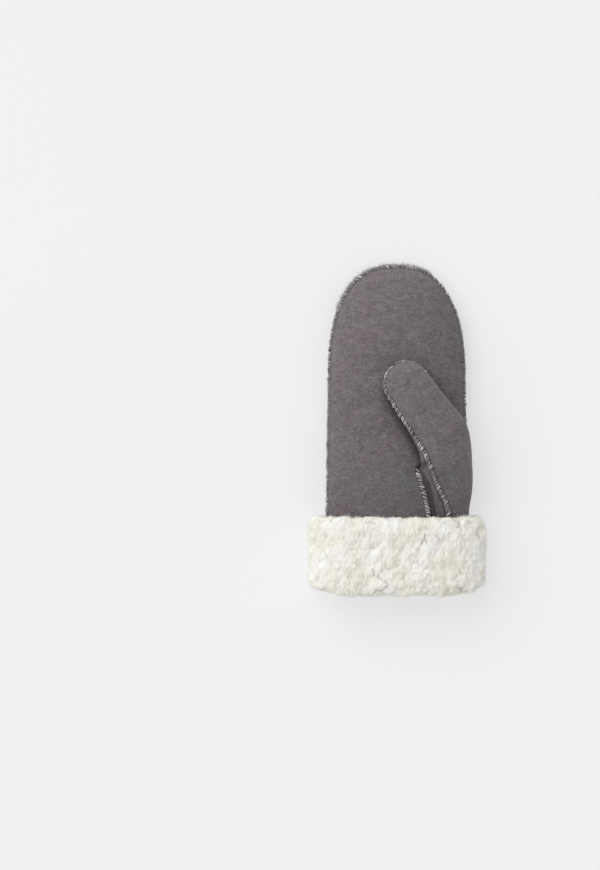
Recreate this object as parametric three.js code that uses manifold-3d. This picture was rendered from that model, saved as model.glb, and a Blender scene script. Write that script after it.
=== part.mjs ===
// A sheepskin mitten for one hand, lying on its back with the thumb folded over the palm.
// Four pieces of suede hide are sewn edge to edge with their raw edges outside, the wool
// pile lines the hand and the thumb, and the wrist end is turned back as a woolly cuff.
// Millimetres, +Z up. The fingertips point along +Y and the thumb is on the +X side.
// The model is drawn from the cuff's fold at y = 0 and then centred on its own box.
import * as THREE from "three";
import { mergeVertices } from "three/addons/utils/BufferGeometryUtils.js";
import Module from "manifold-3d";

// Driving dimensions
const mittenLength = 261; // cuff fold to the fingertip seam
const tipWidth = 103; // between the side seams, at the start of the rounded end
const wristWidth = 111; // between the side seams, at the fold
const tipDepth = 80; // length of the rounded end
const bodyThickness = 33; // palm to back, with the wool at rest
const floorLift = 9; // how far the cuff holds the wrist off the surface
const liftStart = 152; // where the back leaves the surface
const liftEnd = 72;
const hide = 1.4;
const seamGap = 0.3; // between two pieces that are sewn together
const seamRidge = 2; // how far the raw edges stand out of a seam
const edgeReach = 46; // the palm swells over this distance from the seam
const floorReach = 26; // the back flattens over this distance from the seam
const pileDepth = 6; // wool inside the hand and the thumb
const edgeRoom = 2.2; // kept free beside the palm's cut edge for its raw edges
const liningGap = 0.4;
const creaseTrim = 6.2; // radius of the groove that frees the lining at the thumb's crease
const cuffDepth = 63; // fold to the cuff's top edge
const cuffRoom = 3.1; // between the hides and the inside of the cuff
const cuffPile = 12.6; // the cuff's wool, outside its hide
const mouthPile = 9.6; // the wool that is turned into the mouth
const cuffBow = 4.5; // how much shorter the cuff is at its sides
const panelStart = 12; // the hides end inside the cuff's roll
const lockSize = 12; // one curl of wool on the cuff
const lockRelief = 2.6;
const thumbWidth = 40;
const thumbThickness = 22;
const thumbRest = 0.9; // the free thumb lies this far above the palm
const thumbDent = 6.5; // how deep the thumb presses into the palm
const easing = 20; // past the cuff, over this distance, the thumb takes its own shape
const cutGap = 0.35; // round the palm's hide, where it cuts into the thumb's

// Hand thickness: along is a share of mittenLength, thick a share of bodyThickness.
const handSections = [
  { along: 0.0, thick: 0.92 },
  { along: 0.25, thick: 0.97 },
  { along: 0.5, thick: 1.0 },
  { along: 0.75, thick: 0.93 },
  { along: 1.0, thick: 0.78 },
];
// Thumb stations: along is a share of mittenLength and aside of half of wristWidth. wide and
// deep are shares of thumbWidth and thumbThickness, and rise goes from 0, sunk in the wrist,
// to 1, lying on the palm. seam and under are where the front seam and the under seam lie,
// in degrees round the thumb from its right side.
const thumbStations = [
  { along: 0.046, aside: 0.72, wide: 0.86, deep: 1.1, rise: 0.0, seam: 90, under: 212 },
  { along: 0.24, aside: 0.74, wide: 0.9, deep: 1.1, rise: 0.06, seam: 93, under: 212 },
  { along: 0.356, aside: 0.725, wide: 1.02, deep: 1.06, rise: 0.55, seam: 125, under: 218 },
  { along: 0.405, aside: 0.7, wide: 1.02, deep: 1.03, rise: 0.93, seam: 137, under: 255 },
  { along: 0.452, aside: 0.655, wide: 1.02, deep: 1.0, rise: 1.0, seam: 147, under: 325 },
  { along: 0.54, aside: 0.45, wide: 0.99, deep: 1.0, rise: 1.0, seam: 160, under: 333 },
  { along: 0.61, aside: 0.235, wide: 0.92, deep: 0.96, rise: 1.0, seam: 170, under: 340 },
  { along: 0.643, aside: 0.125, wide: 0.87, deep: 0.9, rise: 1.0, seam: 174, under: 346 },
];
// The palm's cut edge, from the fold to the crotch of the thumb. at is a share of that way,
// along and aside are as above, and ridge is how much of seamRidge stands up there.
const palmEdge = [
  { at: 0.0, along: 0.046, aside: 0.56, ridge: 1.0 },
  { at: 0.42, along: 0.24, aside: 0.435, ridge: 1.0 },
  { at: 0.62, along: 0.325, aside: 0.35, ridge: 1.0 },
  { at: 0.76, along: 0.378, aside: 0.285, ridge: 0.9 },
  { at: 0.84, along: 0.396, aside: 0.33, ridge: 0.2 },
  { at: 0.92, along: 0.424, aside: 0.58, ridge: 0.05 },
  { at: 1.0, along: 0.49, aside: 1.0, ridge: 0.05 },
];
const crotchAlong = 0.452; // the thumb's station at its crotch
const crotchReach = 0.49; // the side seam's at the same place

// Mesh counts
// Rows from the fold to the crotch, as shares of that way, closer together at the crotch.
const baseShares = [0, 0.11, 0.22, 0.33, 0.44, 0.55, 0.65, 0.74, 0.82, 0.885, 0.935, 0.97];
const freeShares = [0, 0.04, 0.09, 0.17, 0.29, 0.43, 0.58, 0.73, 0.87]; // the free thumb's rows
const capRows = 5; // round its end
const upperRows = 4; // along the hand's straight side, above the crotch
const domeRows = 9; // round the hand's end
const handRings = [0, 0.035, 0.1, 0.2, 0.34, 0.55, 1];
const thumbColumns = 9;
const cuffTurns = 84;
const shortestEdge = 0.1; // shorter edges left by a cut are smoothed away
const leastHeight = 0.02; // thinner triangles are joined to the face beside them

const wasm = await Module();
wasm.setup();

const lerp = (a, b, t) => a + (b - a) * t;
const clamp01 = (t) => Math.min(1, Math.max(0, t));
const radians = THREE.MathUtils.degToRad;
const smooth = (a, b, x) => {
  const t = clamp01((x - a) / (b - a));
  return t * t * (3 - 2 * t);
};
const vec = (x, y, z) => new THREE.Vector3(x, y, z);
const moved = (p, direction, distance) => p.clone().addScaledVector(direction, distance);
const upward = vec(0, 0, 1);

// A table's column at position x, on a smooth curve through its rows.
function follow(table, key, column, x) {
  const last = table.length - 1;
  const above = table.findIndex((row) => row[key] > x);
  const k = above < 0 ? last - 1 : Math.max(0, above - 1);
  const [a, b] = [table[k], table[k + 1]];
  const slope = (m, n) => (n[column] - m[column]) / (n[key] - m[key]);
  const here = slope(a, b);
  const tangent = (other) => (here * other <= 0 ? 0 : (2 * here * other) / (here + other));
  const start = k > 0 ? tangent(slope(table[k - 1], a)) : here;
  const end = k + 1 < last ? tangent(slope(b, table[k + 2])) : here;
  const span = b[key] - a[key];
  const t = clamp01((x - a[key]) / span);
  const back = 1 - t;
  return (
    back * back * (1 + 2 * t) * a[column] +
    t * back * back * span * start +
    t * t * (3 - 2 * t) * b[column] -
    t * t * back * span * end
  );
}

// The hand's seam in plan: a superellipse end on slightly flared sides.
function seamHalfWidth(y) {
  const fromTip = mittenLength - y;
  const half = lerp(tipWidth, wristWidth, fromTip / mittenLength) / 2;
  const rise = clamp01(1 - fromTip / tipDepth);
  return half * Math.pow(1 - Math.pow(rise, 2.2), 1 / 2.6);
}
const crotchY = crotchReach * mittenLength;
const straightEnd = mittenLength - tipDepth;
// Where the hand's rows meet its side seam, from the fold to the fingertips.
function handRowPlaces() {
  const places = [];
  for (const share of baseShares) places.push(lerp(panelStart, crotchY, share));
  for (let i = 0; i < upperRows; i++) places.push(lerp(crotchY, straightEnd, i / upperRows));
  for (let i = 0; i < domeRows; i++) {
    const turn = Math.sin(radians((90 * i) / domeRows));
    places.push(straightEnd + tipDepth * Math.pow(turn, 2 / 2.2));
  }
  places.push(mittenLength);
  return places;
}
const rowPlaces = handRowPlaces();
const outline = [
  ...rowPlaces.map((y) => new THREE.Vector2(-seamHalfWidth(y), y)),
  ...rowPlaces.map((y) => new THREE.Vector2(seamHalfWidth(y), y)).reverse().slice(1),
];

function edgeDistance(x, y) {
  let least = Infinity;
  for (let i = 0; i + 1 < outline.length; i++) {
    const [a, b] = [outline[i], outline[i + 1]];
    const [dx, dy] = [b.x - a.x, b.y - a.y];
    const t = clamp01(((x - a.x) * dx + (y - a.y) * dy) / (dx * dx + dy * dy));
    least = Math.min(least, Math.hypot(x - a.x - t * dx, y - a.y - t * dy));
  }
  return least;
}
const swell = (distance, reach) =>
  Math.pow(1 - Math.pow(1 - clamp01(distance / reach), 2), 0.62);
const lift = (y) => floorLift * smooth(liftStart, liftEnd, y);
const thickness = (y) => bodyThickness * follow(handSections, "along", "thick", y / mittenLength);
const seamHeight = (y) => lift(y) + 0.44 * thickness(y);

const station = (along, column) => follow(thumbStations, "along", column, along);
const thumbStart = thumbStations[0].along;
const thumbEnd = thumbStations[thumbStations.length - 1].along;
const spinePlan = (along) =>
  vec((station(along, "aside") * wristWidth) / 2, along * mittenLength, 0);
const spineSamples = Array.from({ length: 25 }, (_, i) => spinePlan(lerp(0.3, thumbEnd, i / 24)));

// How deep the thumb presses the palm at a place.
function dent(x, y) {
  let least = Infinity;
  for (const p of spineSamples) least = Math.min(least, Math.hypot(x - p.x, y - p.y));
  const spread = least / (0.75 * thumbWidth);
  return thumbDent * Math.exp(-spread * spread) * smooth(panelStart, cuffDepth + easing, y);
}
// The flesh side of the palm and of the back over any place inside the outline, or the same
// surfaces moved in by an inset.
function palmHeight(x, y, inset = 0) {
  const seam = seamHeight(y);
  const crown = lift(y) + thickness(y) - hide - inset;
  const rise = swell(edgeDistance(x, y) - inset, edgeReach - inset);
  return seam + (crown - seam) * rise - dent(x, y) * rise;
}
function backHeight(x, y, inset = 0) {
  const seam = seamHeight(y);
  const floor = lift(y) + hide + inset;
  const rise = swell(edgeDistance(x, y) - inset, floorReach - inset);
  return rise >= 1 ? floor : seam - (seam - floor) * rise;
}
function heightNormal(height, p, sign) {
  const step = 0.4;
  const dx = (height(p.x + step, p.y) - height(p.x - step, p.y)) / (2 * step);
  const dy = (height(p.x, p.y + step) - height(p.x, p.y - step)) / (2 * step);
  return vec(-dx * sign, -dy * sign, sign).normalize();
}

function closedGeometry(points, faces) {
  const flat = new Float32Array(points.flatMap((p) => [p.x, p.y, p.z]));
  return welded(
    new THREE.BufferGeometry()
      .setAttribute("position", new THREE.BufferAttribute(flat, 3))
      .setIndex(faces),
  );
}
// Merges points that meet, drops faces that collapsed, and turns the faces outwards.
function welded(raw) {
  const merged = mergeVertices(raw, 1e-3);
  const index = merged.index.array;
  const kept = [];
  for (let i = 0; i < index.length; i += 3) {
    const [a, b, c] = [index[i], index[i + 1], index[i + 2]];
    if (a !== b && b !== c && a !== c) kept.push(a, b, c);
  }
  if (signedVolume(merged, kept) < 0) {
    for (let i = 0; i < kept.length; i += 3) [kept[i], kept[i + 1]] = [kept[i + 1], kept[i]];
  }
  return merged.setIndex(kept);
}
// Joins the ends of each very short edge, and turns the long edge of each sliver the other
// way, across the sliver and its neighbour.
function withoutSlivers(position, index) {
  const faces = [];
  const gap = (a, b) =>
    vec().fromBufferAttribute(position, a).distanceTo(vec().fromBufferAttribute(position, b));
  const joined = new Map();
  const home = (a) => (joined.has(a) ? home(joined.get(a)) : a);
  for (let i = 0; i < index.length; i++) {
    const next = i % 3 < 2 ? i + 1 : i - 2;
    const [a, b] = [home(index[i]), home(index[next])];
    if (a !== b && gap(a, b) < leastHeight) joined.set(Math.max(a, b), Math.min(a, b));
  }
  for (let i = 0; i < index.length; i += 3) {
    const face = [0, 1, 2].map((k) => home(index[i + k]));
    if (new Set(face).size === 3) faces.push(face);
  }
  const longest = (face) => {
    const sides = face.map((a, k) => gap(a, face[(k + 1) % 3]));
    const k = sides.indexOf(Math.max(...sides));
    const half = (sides[0] + sides[1] + sides[2]) / 2;
    const area = Math.sqrt(Math.max(0, sides.reduce((product, side) => product * (half - side), half)));
    return { a: face[k], b: face[(k + 1) % 3], c: face[(k + 2) % 3], height: (2 * area) / sides[k] };
  };
  const follows = (face, a, b) => face.some((p, k) => p === a && face[(k + 1) % 3] === b);
  for (const face of [...faces, ...faces]) {
    const { a, b, c, height } = longest(face);
    if (height >= leastHeight) continue;
    const beside = faces.find((other) => follows(other, b, a));
    const d = beside.find((p) => p !== a && p !== b);
    if (faces.some((other) => follows(other, c, d) || follows(other, d, c))) continue;
    const turned = [[a, d, c], [d, b, c]];
    if (Math.min(...turned.map((one) => longest(one).height)) <= height) continue;
    face.splice(0, 3, ...turned[0]);
    beside.splice(0, 3, ...turned[1]);
  }
  return faces.flat();
}
function signedVolume(geometry, index) {
  const p = geometry.getAttribute("position");
  const corner = (i) => vec().fromBufferAttribute(p, index[i]);
  let sum = 0;
  for (let i = 0; i < index.length; i += 3) {
    sum += corner(i).dot(corner(i + 1).cross(corner(i + 2))) / 6;
  }
  return sum;
}
// The faces of a grid of points whose first one is numbered start.
function gridFaces(rows, columns, start, flip) {
  const faces = [];
  for (let i = 0; i + 1 < rows; i++) {
    for (let j = 0; j + 1 < columns; j++) {
      const a = start + i * columns + j;
      const [b, c, d] = [a + 1, a + columns + 1, a + columns];
      faces.push(...(flip ? [a, c, b, a, d, c] : [a, b, c, a, c, d]));
    }
  }
  return faces;
}
// Closes two like grids, one on each face of a hide. The last row closes on itself, unless
// it is walled too.
function sheetGeometry(inner, outer, walled = false) {
  const [rows, columns] = [inner.length, inner[0].length];
  const shift = rows * columns;
  const faces = [...gridFaces(rows, columns, 0, true), ...gridFaces(rows, columns, shift, false)];
  const quad = (a, b, c, d) => faces.push(a, b, c, a, c, d);
  for (let i = 0; i + 1 < rows; i++) {
    const [a, b] = [i * columns, (i + 1) * columns];
    const end = columns - 1;
    quad(a, a + shift, b + shift, b);
    quad(a + end, b + end, b + end + shift, a + end + shift);
  }
  for (let j = 0; j + 1 < columns; j++) quad(j, j + 1, j + 1 + shift, j + shift);
  for (let j = (rows - 1) * columns; walled && j + 1 < rows * columns; j++) {
    quad(j, j + shift, j + 1 + shift, j + 1);
  }
  return closedGeometry([...inner.flat(), ...outer.flat()], faces);
}
function solidFrom(geometry) {
  return new wasm.Manifold(
    new wasm.Mesh({
      numProp: 3,
      vertProperties: geometry.getAttribute("position").array,
      triVerts: new Uint32Array(geometry.index.array),
    }),
  );
}
function geometryFrom(solid) {
  const mesh = solid.getMesh();
  const geometry = welded(
    new THREE.BufferGeometry()
      .setAttribute("position", new THREE.BufferAttribute(mesh.vertProperties, 3))
      .setIndex(new THREE.BufferAttribute(mesh.triVerts, 1)),
  );
  const faces = withoutSlivers(geometry.getAttribute("position"), Array.from(geometry.index.array));
  return geometry.setIndex(faces);
}

// The thumb's cross-section at a station. turn, in degrees, carries its two sides forward
// round the end of the thumb until they meet.
function thumbFrame(along, turn = 0) {
  const step = 0.004;
  const centre = spinePlan(along);
  const ahead = spinePlan(Math.min(thumbEnd, along + step));
  const forward = ahead.sub(spinePlan(Math.min(thumbEnd - step, along - step))).normalize();
  const right = vec(forward.y, -forward.x, 0);
  const [c, s] = [Math.cos(radians(turn)), Math.sin(radians(turn))];
  const wide = (station(along, "wide") * thumbWidth) / 2 - hide;
  const deep = (station(along, "deep") * thumbThickness) / 2 - hide;
  const palm = palmHeight(centre.x, centre.y) + hide;
  const sunk = palm - deep + 1.5 * seamRidge;
  const rest = palm + thumbRest + hide + deep;
  centre.z = lerp(sunk, rest, station(along, "rise"));
  return {
    along,
    turn,
    centre,
    wide,
    deep,
    right: right.clone().multiplyScalar(c).addScaledVector(forward, s),
    left: right.clone().multiplyScalar(-c).addScaledVector(forward, s),
    seam: lerp(station(along, "seam"), 180, turn / 90),
    under: lerp(station(along, "under"), 360, turn / 90),
  };
}
function thumbPoint(frame, angle) {
  const a = radians(angle);
  const side = Math.cos(a) > 0 ? frame.right : frame.left;
  const p = moved(frame.centre, side, frame.wide * Math.abs(Math.cos(a)));
  return moved(p, upward, frame.deep * Math.sin(a));
}
// The direction out of the thumb at an angle.
function thumbOutward(frame, angle) {
  const a = radians(angle);
  const side = Math.cos(a) > 0 ? frame.right : frame.left;
  const out = side.clone().multiplyScalar(Math.abs(Math.cos(a)) * frame.deep);
  return moved(out, upward, frame.wide * Math.sin(a)).normalize();
}
// The direction round the thumb in which the angle grows.
function thumbRound(frame, angle) {
  const a = radians(angle);
  const side = Math.cos(a) > 0 ? frame.right : frame.left;
  const out = side.clone().multiplyScalar(-Math.sin(a) * Math.sign(Math.cos(a)) * frame.wide);
  return moved(out, upward, frame.deep * Math.cos(a)).normalize();
}
const thumbFrames = [
  ...baseShares.map((share) => lerp(thumbStart, crotchAlong, share)),
  ...freeShares.map((share) => lerp(crotchAlong, thumbEnd, share)),
].map((along) => thumbFrame(along));
for (let i = 0; i <= capRows; i++) thumbFrames.push(thumbFrame(thumbEnd, (90 * i) / capRows));

// Seam points, each with the direction in which the raw edges stand out (stand), the
// direction from one hide to the other (over) and the height of the ridge.
const tubeShare = (y) => smooth(panelStart + easing, cuffDepth + 1.1 * easing, y);
function sidePoint(y, side) {
  const step = 0.5;
  const top = Math.min(y + step, mittenLength);
  const run = vec(seamHalfWidth(top) - seamHalfWidth(top - 2 * step), 2 * step, 0).normalize();
  const stand = y >= mittenLength ? vec(0, 1, 0) : vec(run.y * side, -run.x, 0);
  const p = vec(side * seamHalfWidth(y), y, seamHeight(y));
  return { p, stand, over: upward, ridge: seamRidge };
}
function palmEdgePoint(at) {
  const place = (t) =>
    vec(
      (follow(palmEdge, "at", "aside", t) * wristWidth) / 2,
      follow(palmEdge, "at", "along", t) * mittenLength,
      0,
    );
  const p = place(at);
  const run = place(Math.min(1, at + 0.01)).sub(place(Math.max(0, at - 0.01))).normalize();
  if (at >= 1) p.x = seamHalfWidth(p.y);
  p.z = palmHeight(p.x, p.y);
  const ridge = seamRidge * follow(palmEdge, "at", "ridge", at);
  return { p, stand: upward, over: vec(-run.y, run.x, 0), ridge };
}
const crotchPoint = sidePoint(crotchY, 1).p;
const underShift = crotchPoint
  .clone()
  .sub(thumbPoint(thumbFrame(crotchAlong), station(crotchAlong, "under")));
// The front seam, between the thumb's front and under pieces.
function frontSeam(frame) {
  const tube = thumbPoint(frame, frame.seam);
  const flat = vec(tube.x, tube.y, palmHeight(tube.x, tube.y));
  return {
    p: flat.lerp(tube, tubeShare(tube.y)),
    stand: thumbOutward(frame, frame.seam),
    over: thumbRound(frame, frame.seam).negate(),
    ridge: seamRidge,
  };
}
// The seam where a thumb row ends: the side seam or the palm's edge below the crotch, and
// the seam under the thumb beyond it.
function endSeam(frame, front) {
  const share = (frame.along - thumbStart) / (crotchAlong - thumbStart);
  if (frame.along < crotchAlong && front) return sidePoint(lerp(panelStart, crotchY, share), 1);
  if (frame.along < crotchAlong) {
    return palmEdgePoint(share);
  }
  const free = smooth(crotchAlong + 0.01, crotchAlong + 0.12, frame.along);
  const risen = smooth(crotchAlong, crotchAlong + 0.03, frame.along);
  const side = sidePoint(crotchY, 1);
  const stand = side.stand.lerp(thumbOutward(frame, frame.under), free).normalize();
  const over = side.over.clone().lerp(thumbRound(frame, frame.under), free).normalize();
  const tube = thumbPoint(frame, frame.under);
  const p = moved(tube, underShift, 1 - free);
  p.z = tube.z + underShift.z * (1 - risen);
  if (frame.along > crotchAlong) p.z = Math.max(p.z, clearOfPalm(p) + 0.25 * seamRidge);
  return { p, stand, over, ridge: seamRidge * lerp(0.3, 1, free) };
}
// How far a place lies past the palm's cut edge, on the side of the fingers.
const edgeSamples = Array.from({ length: 41 }, (_, i) => palmEdgePoint(i / 40));
const nearestEdge = (p) =>
  edgeSamples.reduce((best, q) => (q.p.distanceTo(p) < best.p.distanceTo(p) ? q : best));
function pastEdge(p) {
  const { p: q, over } = nearestEdge(p);
  return (p.x - q.x) * over.x + (p.y - q.y) * over.y;
}
// The least height of the thumb's flesh side over a place on the palm.
function clearOfPalm(p) {
  if (Math.abs(p.x) > seamHalfWidth(p.y)) return -Infinity;
  const clearance = (2 * hide + liningGap) / heightNormal(palmHeight, p, 1).z;
  return palmHeight(p.x, p.y) + clearance * smooth(0, 1.25 * seamRidge, pastEdge(p));
}
// One row of the thumb's front or under piece, on its flesh side.
function thumbRow(frame, front) {
  const start = frontSeam(frame).p;
  const end = endSeam(frame, front).p;
  const below = frame.along < crotchAlong;
  const under = below && front ? station(crotchAlong, "under") : frame.under;
  const last = front ? under - 360 : under;
  const startMove = start.clone().sub(thumbPoint(frame, frame.seam));
  const endMove = end.clone().sub(thumbPoint(frame, last));
  const row = [];
  for (let j = 0; j <= thumbColumns; j++) {
    const u = j / thumbColumns;
    const tube = thumbPoint(frame, lerp(frame.seam, last, u));
    tube.addScaledVector(startMove, (1 - u) * (1 - u));
    tube.addScaledVector(endMove, front ? u * u : u * u * u);
    const flat = start.clone().lerp(end, u);
    flat.z = palmHeight(flat.x, flat.y);
    row.push(flat.lerp(tube, tubeShare(tube.y)));
  }
  for (const p of row) {
    const past = pastEdge(p);
    const beside = !front && frame.along < 0.37 && past > -edgeRoom;
    if (beside) p.addScaledVector(nearestEdge(p).over, -edgeRoom - past);
    if (!front || !below) p.z = Math.max(p.z, clearOfPalm(p));
  }
  row[0].copy(start);
  row[thumbColumns].copy(end);
  return row;
}
// Directions out of a grid of points, from the differences between neighbours. The last row
// is folded in two, so its halves share their directions.
function gridNormals(grid, sign) {
  const last = grid.length - 1;
  const normals = grid.map((row, i) =>
    row.map((_, j) => {
      const down = grid[Math.min(last, i + 1)][j].clone().sub(grid[Math.max(0, i - 1)][j]);
      const end = row.length - 1;
      const across = row[Math.min(end, j + 1)].clone().sub(row[Math.max(0, j - 1)]);
      return across.cross(down).multiplyScalar(sign).normalize();
    }),
  );
  const fold = normals[last];
  const mirrored = fold.map((n, j) => n.clone().add(fold[fold.length - 1 - j]).normalize());
  return [...normals.slice(0, last), mirrored];
}
// Adds the two raw edges to a row and gives its flesh side and its outer side.
function edgedRow(row, normals, startSeam, endSeamPoint, sides) {
  const inner = [];
  const outer = [];
  const edge = (seam, side, list) => {
    const over = seam.over.clone().multiplyScalar(side);
    const foot = moved(seam.p, over, seamGap / 2).add(vec(0, 0, seam.raise ?? 0));
    const tip = moved(foot, seam.stand, seam.ridge);
    const corner = moved(moved(foot, over, hide), seam.stand, 0.55 * hide);
    const tipOut = moved(tip, over, hide);
    list.push([tip, tipOut], [foot, seam.ridge > hide ? corner : moved(foot, over, hide)]);
  };
  const first = [];
  edge(startSeam, sides[0], first);
  const lastPair = [];
  edge(endSeamPoint, sides[1], lastPair);
  const body = row.slice(1, -1).map((p, j) => [p, moved(p, normals[j + 1], hide)]);
  for (const [a, b] of [...first, ...body, ...lastPair.reverse()]) {
    inner.push(a);
    outer.push(b);
  }
  return [inner, outer];
}
function thumbPanel(front) {
  const grid = thumbFrames.map((frame) => thumbRow(frame, front));
  const normals = gridNormals(grid, front ? 1 : -1);
  const side = front ? 1 : -1;
  const rows = grid.map((row, i) => {
    const frame = thumbFrames[i];
    const below = frame.along < crotchAlong && !front;
    const ends = [side, below ? -1 : side];
    const end = endSeam(frame, front);
    if (!front) {
      const fade = Math.max(0, 1 - Math.abs(frame.along - crotchAlong) / 0.05);
      end.raise = 0.95 * seamRidge * fade;
      end.p = moved(end.p, row[thumbColumns - 1].clone().sub(end.p).normalize(), 2 * hide * fade);
    }
    return edgedRow(row, normals[i], frontSeam(frame), end, ends);
  });
  return sheetGeometry(rows.map((r) => r[0]), rows.map((r) => r[1]));
}
// The hand's rows run from the left seam to the middle line and on to the right one. Round
// the fingertips they all start from one place on that line.
function handRow(place, height, rightSeam, inset = 0) {
  const middle = vec(0, Math.min(place, mittenLength - edgeReach), 0);
  const left = sidePoint(place, -1);
  const ray = (seam) => handRings.map((k) => seam.p.clone().lerp(middle, k).setZ(0));
  const points = [...ray(left), ...ray(rightSeam).reverse().slice(1)];
  points.forEach((p) => p.setZ(height(p.x, p.y, inset)));
  points[0].copy(left.p);
  points[points.length - 1].copy(rightSeam.p);
  return points;
}
function rightSeamOf(place, index, palm) {
  return palm && index < baseShares.length
    ? palmEdgePoint(baseShares[index])
    : sidePoint(place, 1);
}
function handPanel(palm) {
  const height = palm ? palmHeight : backHeight;
  const side = palm ? 1 : -1;
  const rows = rowPlaces.map((place, i) => {
    const right = rightSeamOf(place, i, palm);
    const row = handRow(place, height, right);
    const normals = row.map((p) => heightNormal(height, p, side));
    return edgedRow(row, normals, sidePoint(place, -1), right, [side, side]);
  });
  return sheetGeometry(rows.map((r) => r[0]), rows.map((r) => r[1]));
}

// The hollow inside the four hides, moved in by liningGap and closed across the mouth.
function hollowSolid() {
  const grids = [
    rowPlaces.map((place) => handRow(place, backHeight, sidePoint(place, 1))),
    rowPlaces.map((place, i) => handRow(place, palmHeight, rightSeamOf(place, i, true))),
    thumbFrames.map((frame) => thumbRow(frame, true)),
    thumbFrames.map((frame) => thumbRow(frame, false)),
  ];
  const flips = [true, false, false, true];
  const points = [];
  const faces = [];
  grids.forEach((grid, k) => {
    faces.push(...gridFaces(grid.length, grid[0].length, points.length, flips[k]));
    points.push(...grid.flat());
  });
  const [back, palm, front, under] = grids.map((grid) => grid[0]);
  const rim = [...back, ...[...front].reverse().slice(1), ...under.slice(1)];
  rim.push(...[...palm].reverse().slice(1, -1));
  const centre = points.length;
  points.push(vec(0, panelStart, seamHeight(panelStart)), ...rim);
  rim.forEach((_, i) => {
    faces.push(centre, centre + 1 + i, centre + 1 + ((i + 1) % rim.length));
  });
  const closed = closedGeometry(points, faces);
  closed.computeVertexNormals();
  const place = closed.getAttribute("position");
  const out = closed.getAttribute("normal");
  for (let i = 0; i < place.count; i++) {
    const p = vec().fromBufferAttribute(place, i);
    const atPalmEdge = edgeSamples.some((q) => q.p.distanceTo(p) < 2.5);
    const atSeam = atPalmEdge || edgeDistance(p.x, p.y) < 0.5;
    const step = atSeam ? 2.5 * liningGap : liningGap;
    const q = moved(p, vec().fromBufferAttribute(out, i), -step);
    if (p.y < panelStart + 0.2) q.y = panelStart;
    place.setXYZ(i, q.x, q.y, q.z);
  }
  return solidFrom(closed);
}
// The room for the hand, from the mouth to the fingertips.
function handSpace() {
  const shrunk = (p) => {
    const x = p.x * (1 - pileDepth / (wristWidth / 2));
    const past = Math.max(0, p.y - straightEnd);
    const y = p.y <= panelStart ? panelStart - 2 : p.y - past * (pileDepth / tipDepth);
    return vec(x, y, 0);
  };
  const grid = (height) =>
    rowPlaces.map((place) =>
      handRow(place, height, sidePoint(place, 1)).map((p) => {
        const q = shrunk(p);
        return q.setZ(height(q.x, q.y, pileDepth));
      }),
    );
  return solidFrom(sheetGeometry(grid(backHeight), grid(palmHeight)));
}
// The room for the thumb, from inside the hand's room to the thumb's end.
function thumbSpace() {
  const turns = Array.from({ length: 13 }, (_, i) => 30 * i);
  const rows = thumbFrames
    .filter((frame) => frame.along > 0.26)
    .map((frame) => {
      const [wide, deep] = [frame.wide - pileDepth, frame.deep - 0.9 * pileDepth];
      const centre = frame.centre.clone();
      centre.z -= pileDepth * smooth(0.39, 0.28, frame.along);
      return turns.map((turn) => thumbPoint({ ...frame, centre, wide, deep }, turn));
    });
  const points = rows.flat();
  const faces = gridFaces(rows.length, turns.length, 0, false);
  const centre = points.length;
  points.push(rows[0][0].clone().lerp(rows[0][6], 0.5));
  for (let j = 0; j < 12; j++) faces.push(centre, j + 1, j);
  return solidFrom(closedGeometry(points, faces));
}
// The pile is trimmed away in a groove along the crease between the palm and the thumb.
function creaseSpace() {
  const ends = thumbFrames.slice(baseShares.length + 1, baseShares.length + 4);
  const seam = [0.6, 0.7, 0.8, 0.88, 0.94, 1].map((at) => palmEdgePoint(at).p);
  seam.push(...ends.map((frame) => endSeam(frame, false).p));
  const round = new THREE.Shape().absarc(0, 0, creaseTrim, 0, 2 * Math.PI);
  const groove = new THREE.ExtrudeGeometry(round, {
    extrudePath: new THREE.CatmullRomCurve3(seam),
    steps: 16,
    curveSegments: 5,
    bevelEnabled: false,
  });
  groove.deleteAttribute("normal");
  groove.deleteAttribute("uv");
  return solidFrom(mergeVertices(groove, 1e-3));
}
// The room that the palm's hide takes up beside the crease, with a thin gap round it.
function palmRoom() {
  const first = baseShares.findIndex((share) => share > 0.6);
  const rows = rowPlaces.slice(first, baseShares.length + upperRows).map((place, i) => {
    const seam = rightSeamOf(place, first + i, true);
    const middle = vec(0, place, 0);
    const margin = seam.over === upward ? seam.stand : seam.over.clone().negate();
    const reach = seam.over === upward ? seamRidge + liningGap : cutGap;
    const row = [0, 0.02, 0.05, 0.1, 0.18, 0.3, 0.5, 0.8].map((k) => seam.p.clone().lerp(middle, k));
    row.forEach((p, j) => p.setZ(j ? palmHeight(p.x, p.y) : seam.p.z));
    return [moved(row[0], margin, reach), ...row.slice(1)];
  });
  const top = rows.map((row) =>
    row.map((p, j) => {
      const normal = j ? heightNormal(palmHeight, p, 1) : upward;
      return moved(p, normal, hide + cutGap);
    }),
  );
  const floor = rows.map((row) => row.map((p) => moved(p, upward, -0.75 * seamRidge)));
  return solidFrom(sheetGeometry(floor, top, true));
}
// A solid less a room, without the crumbs that this leaves.
function without(solid, room) {
  const parts = solid.subtract(room).asOriginal().simplify(shortestEdge).decompose();
  return parts.sort((a, b) => b.volume() - a.volume())[0];
}

// The turned cuff. Three loops lie round the wrist: the mouth, the inside of the cuff, which
// clears the hides, and its outside. pile is how far each lies out from the inside one at its
// sides, top and bottom are shares of that, and power is the exponent of its superellipse.
const cuffLoops = [
  { pile: -mouthPile, top: 1.083, bottom: 0.75, power: 3 },
  { pile: 0, top: 0, bottom: 0, power: 3.4 },
  { pile: cuffPile, top: 0.873, bottom: 0.85, power: 2.7 },
];
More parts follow.
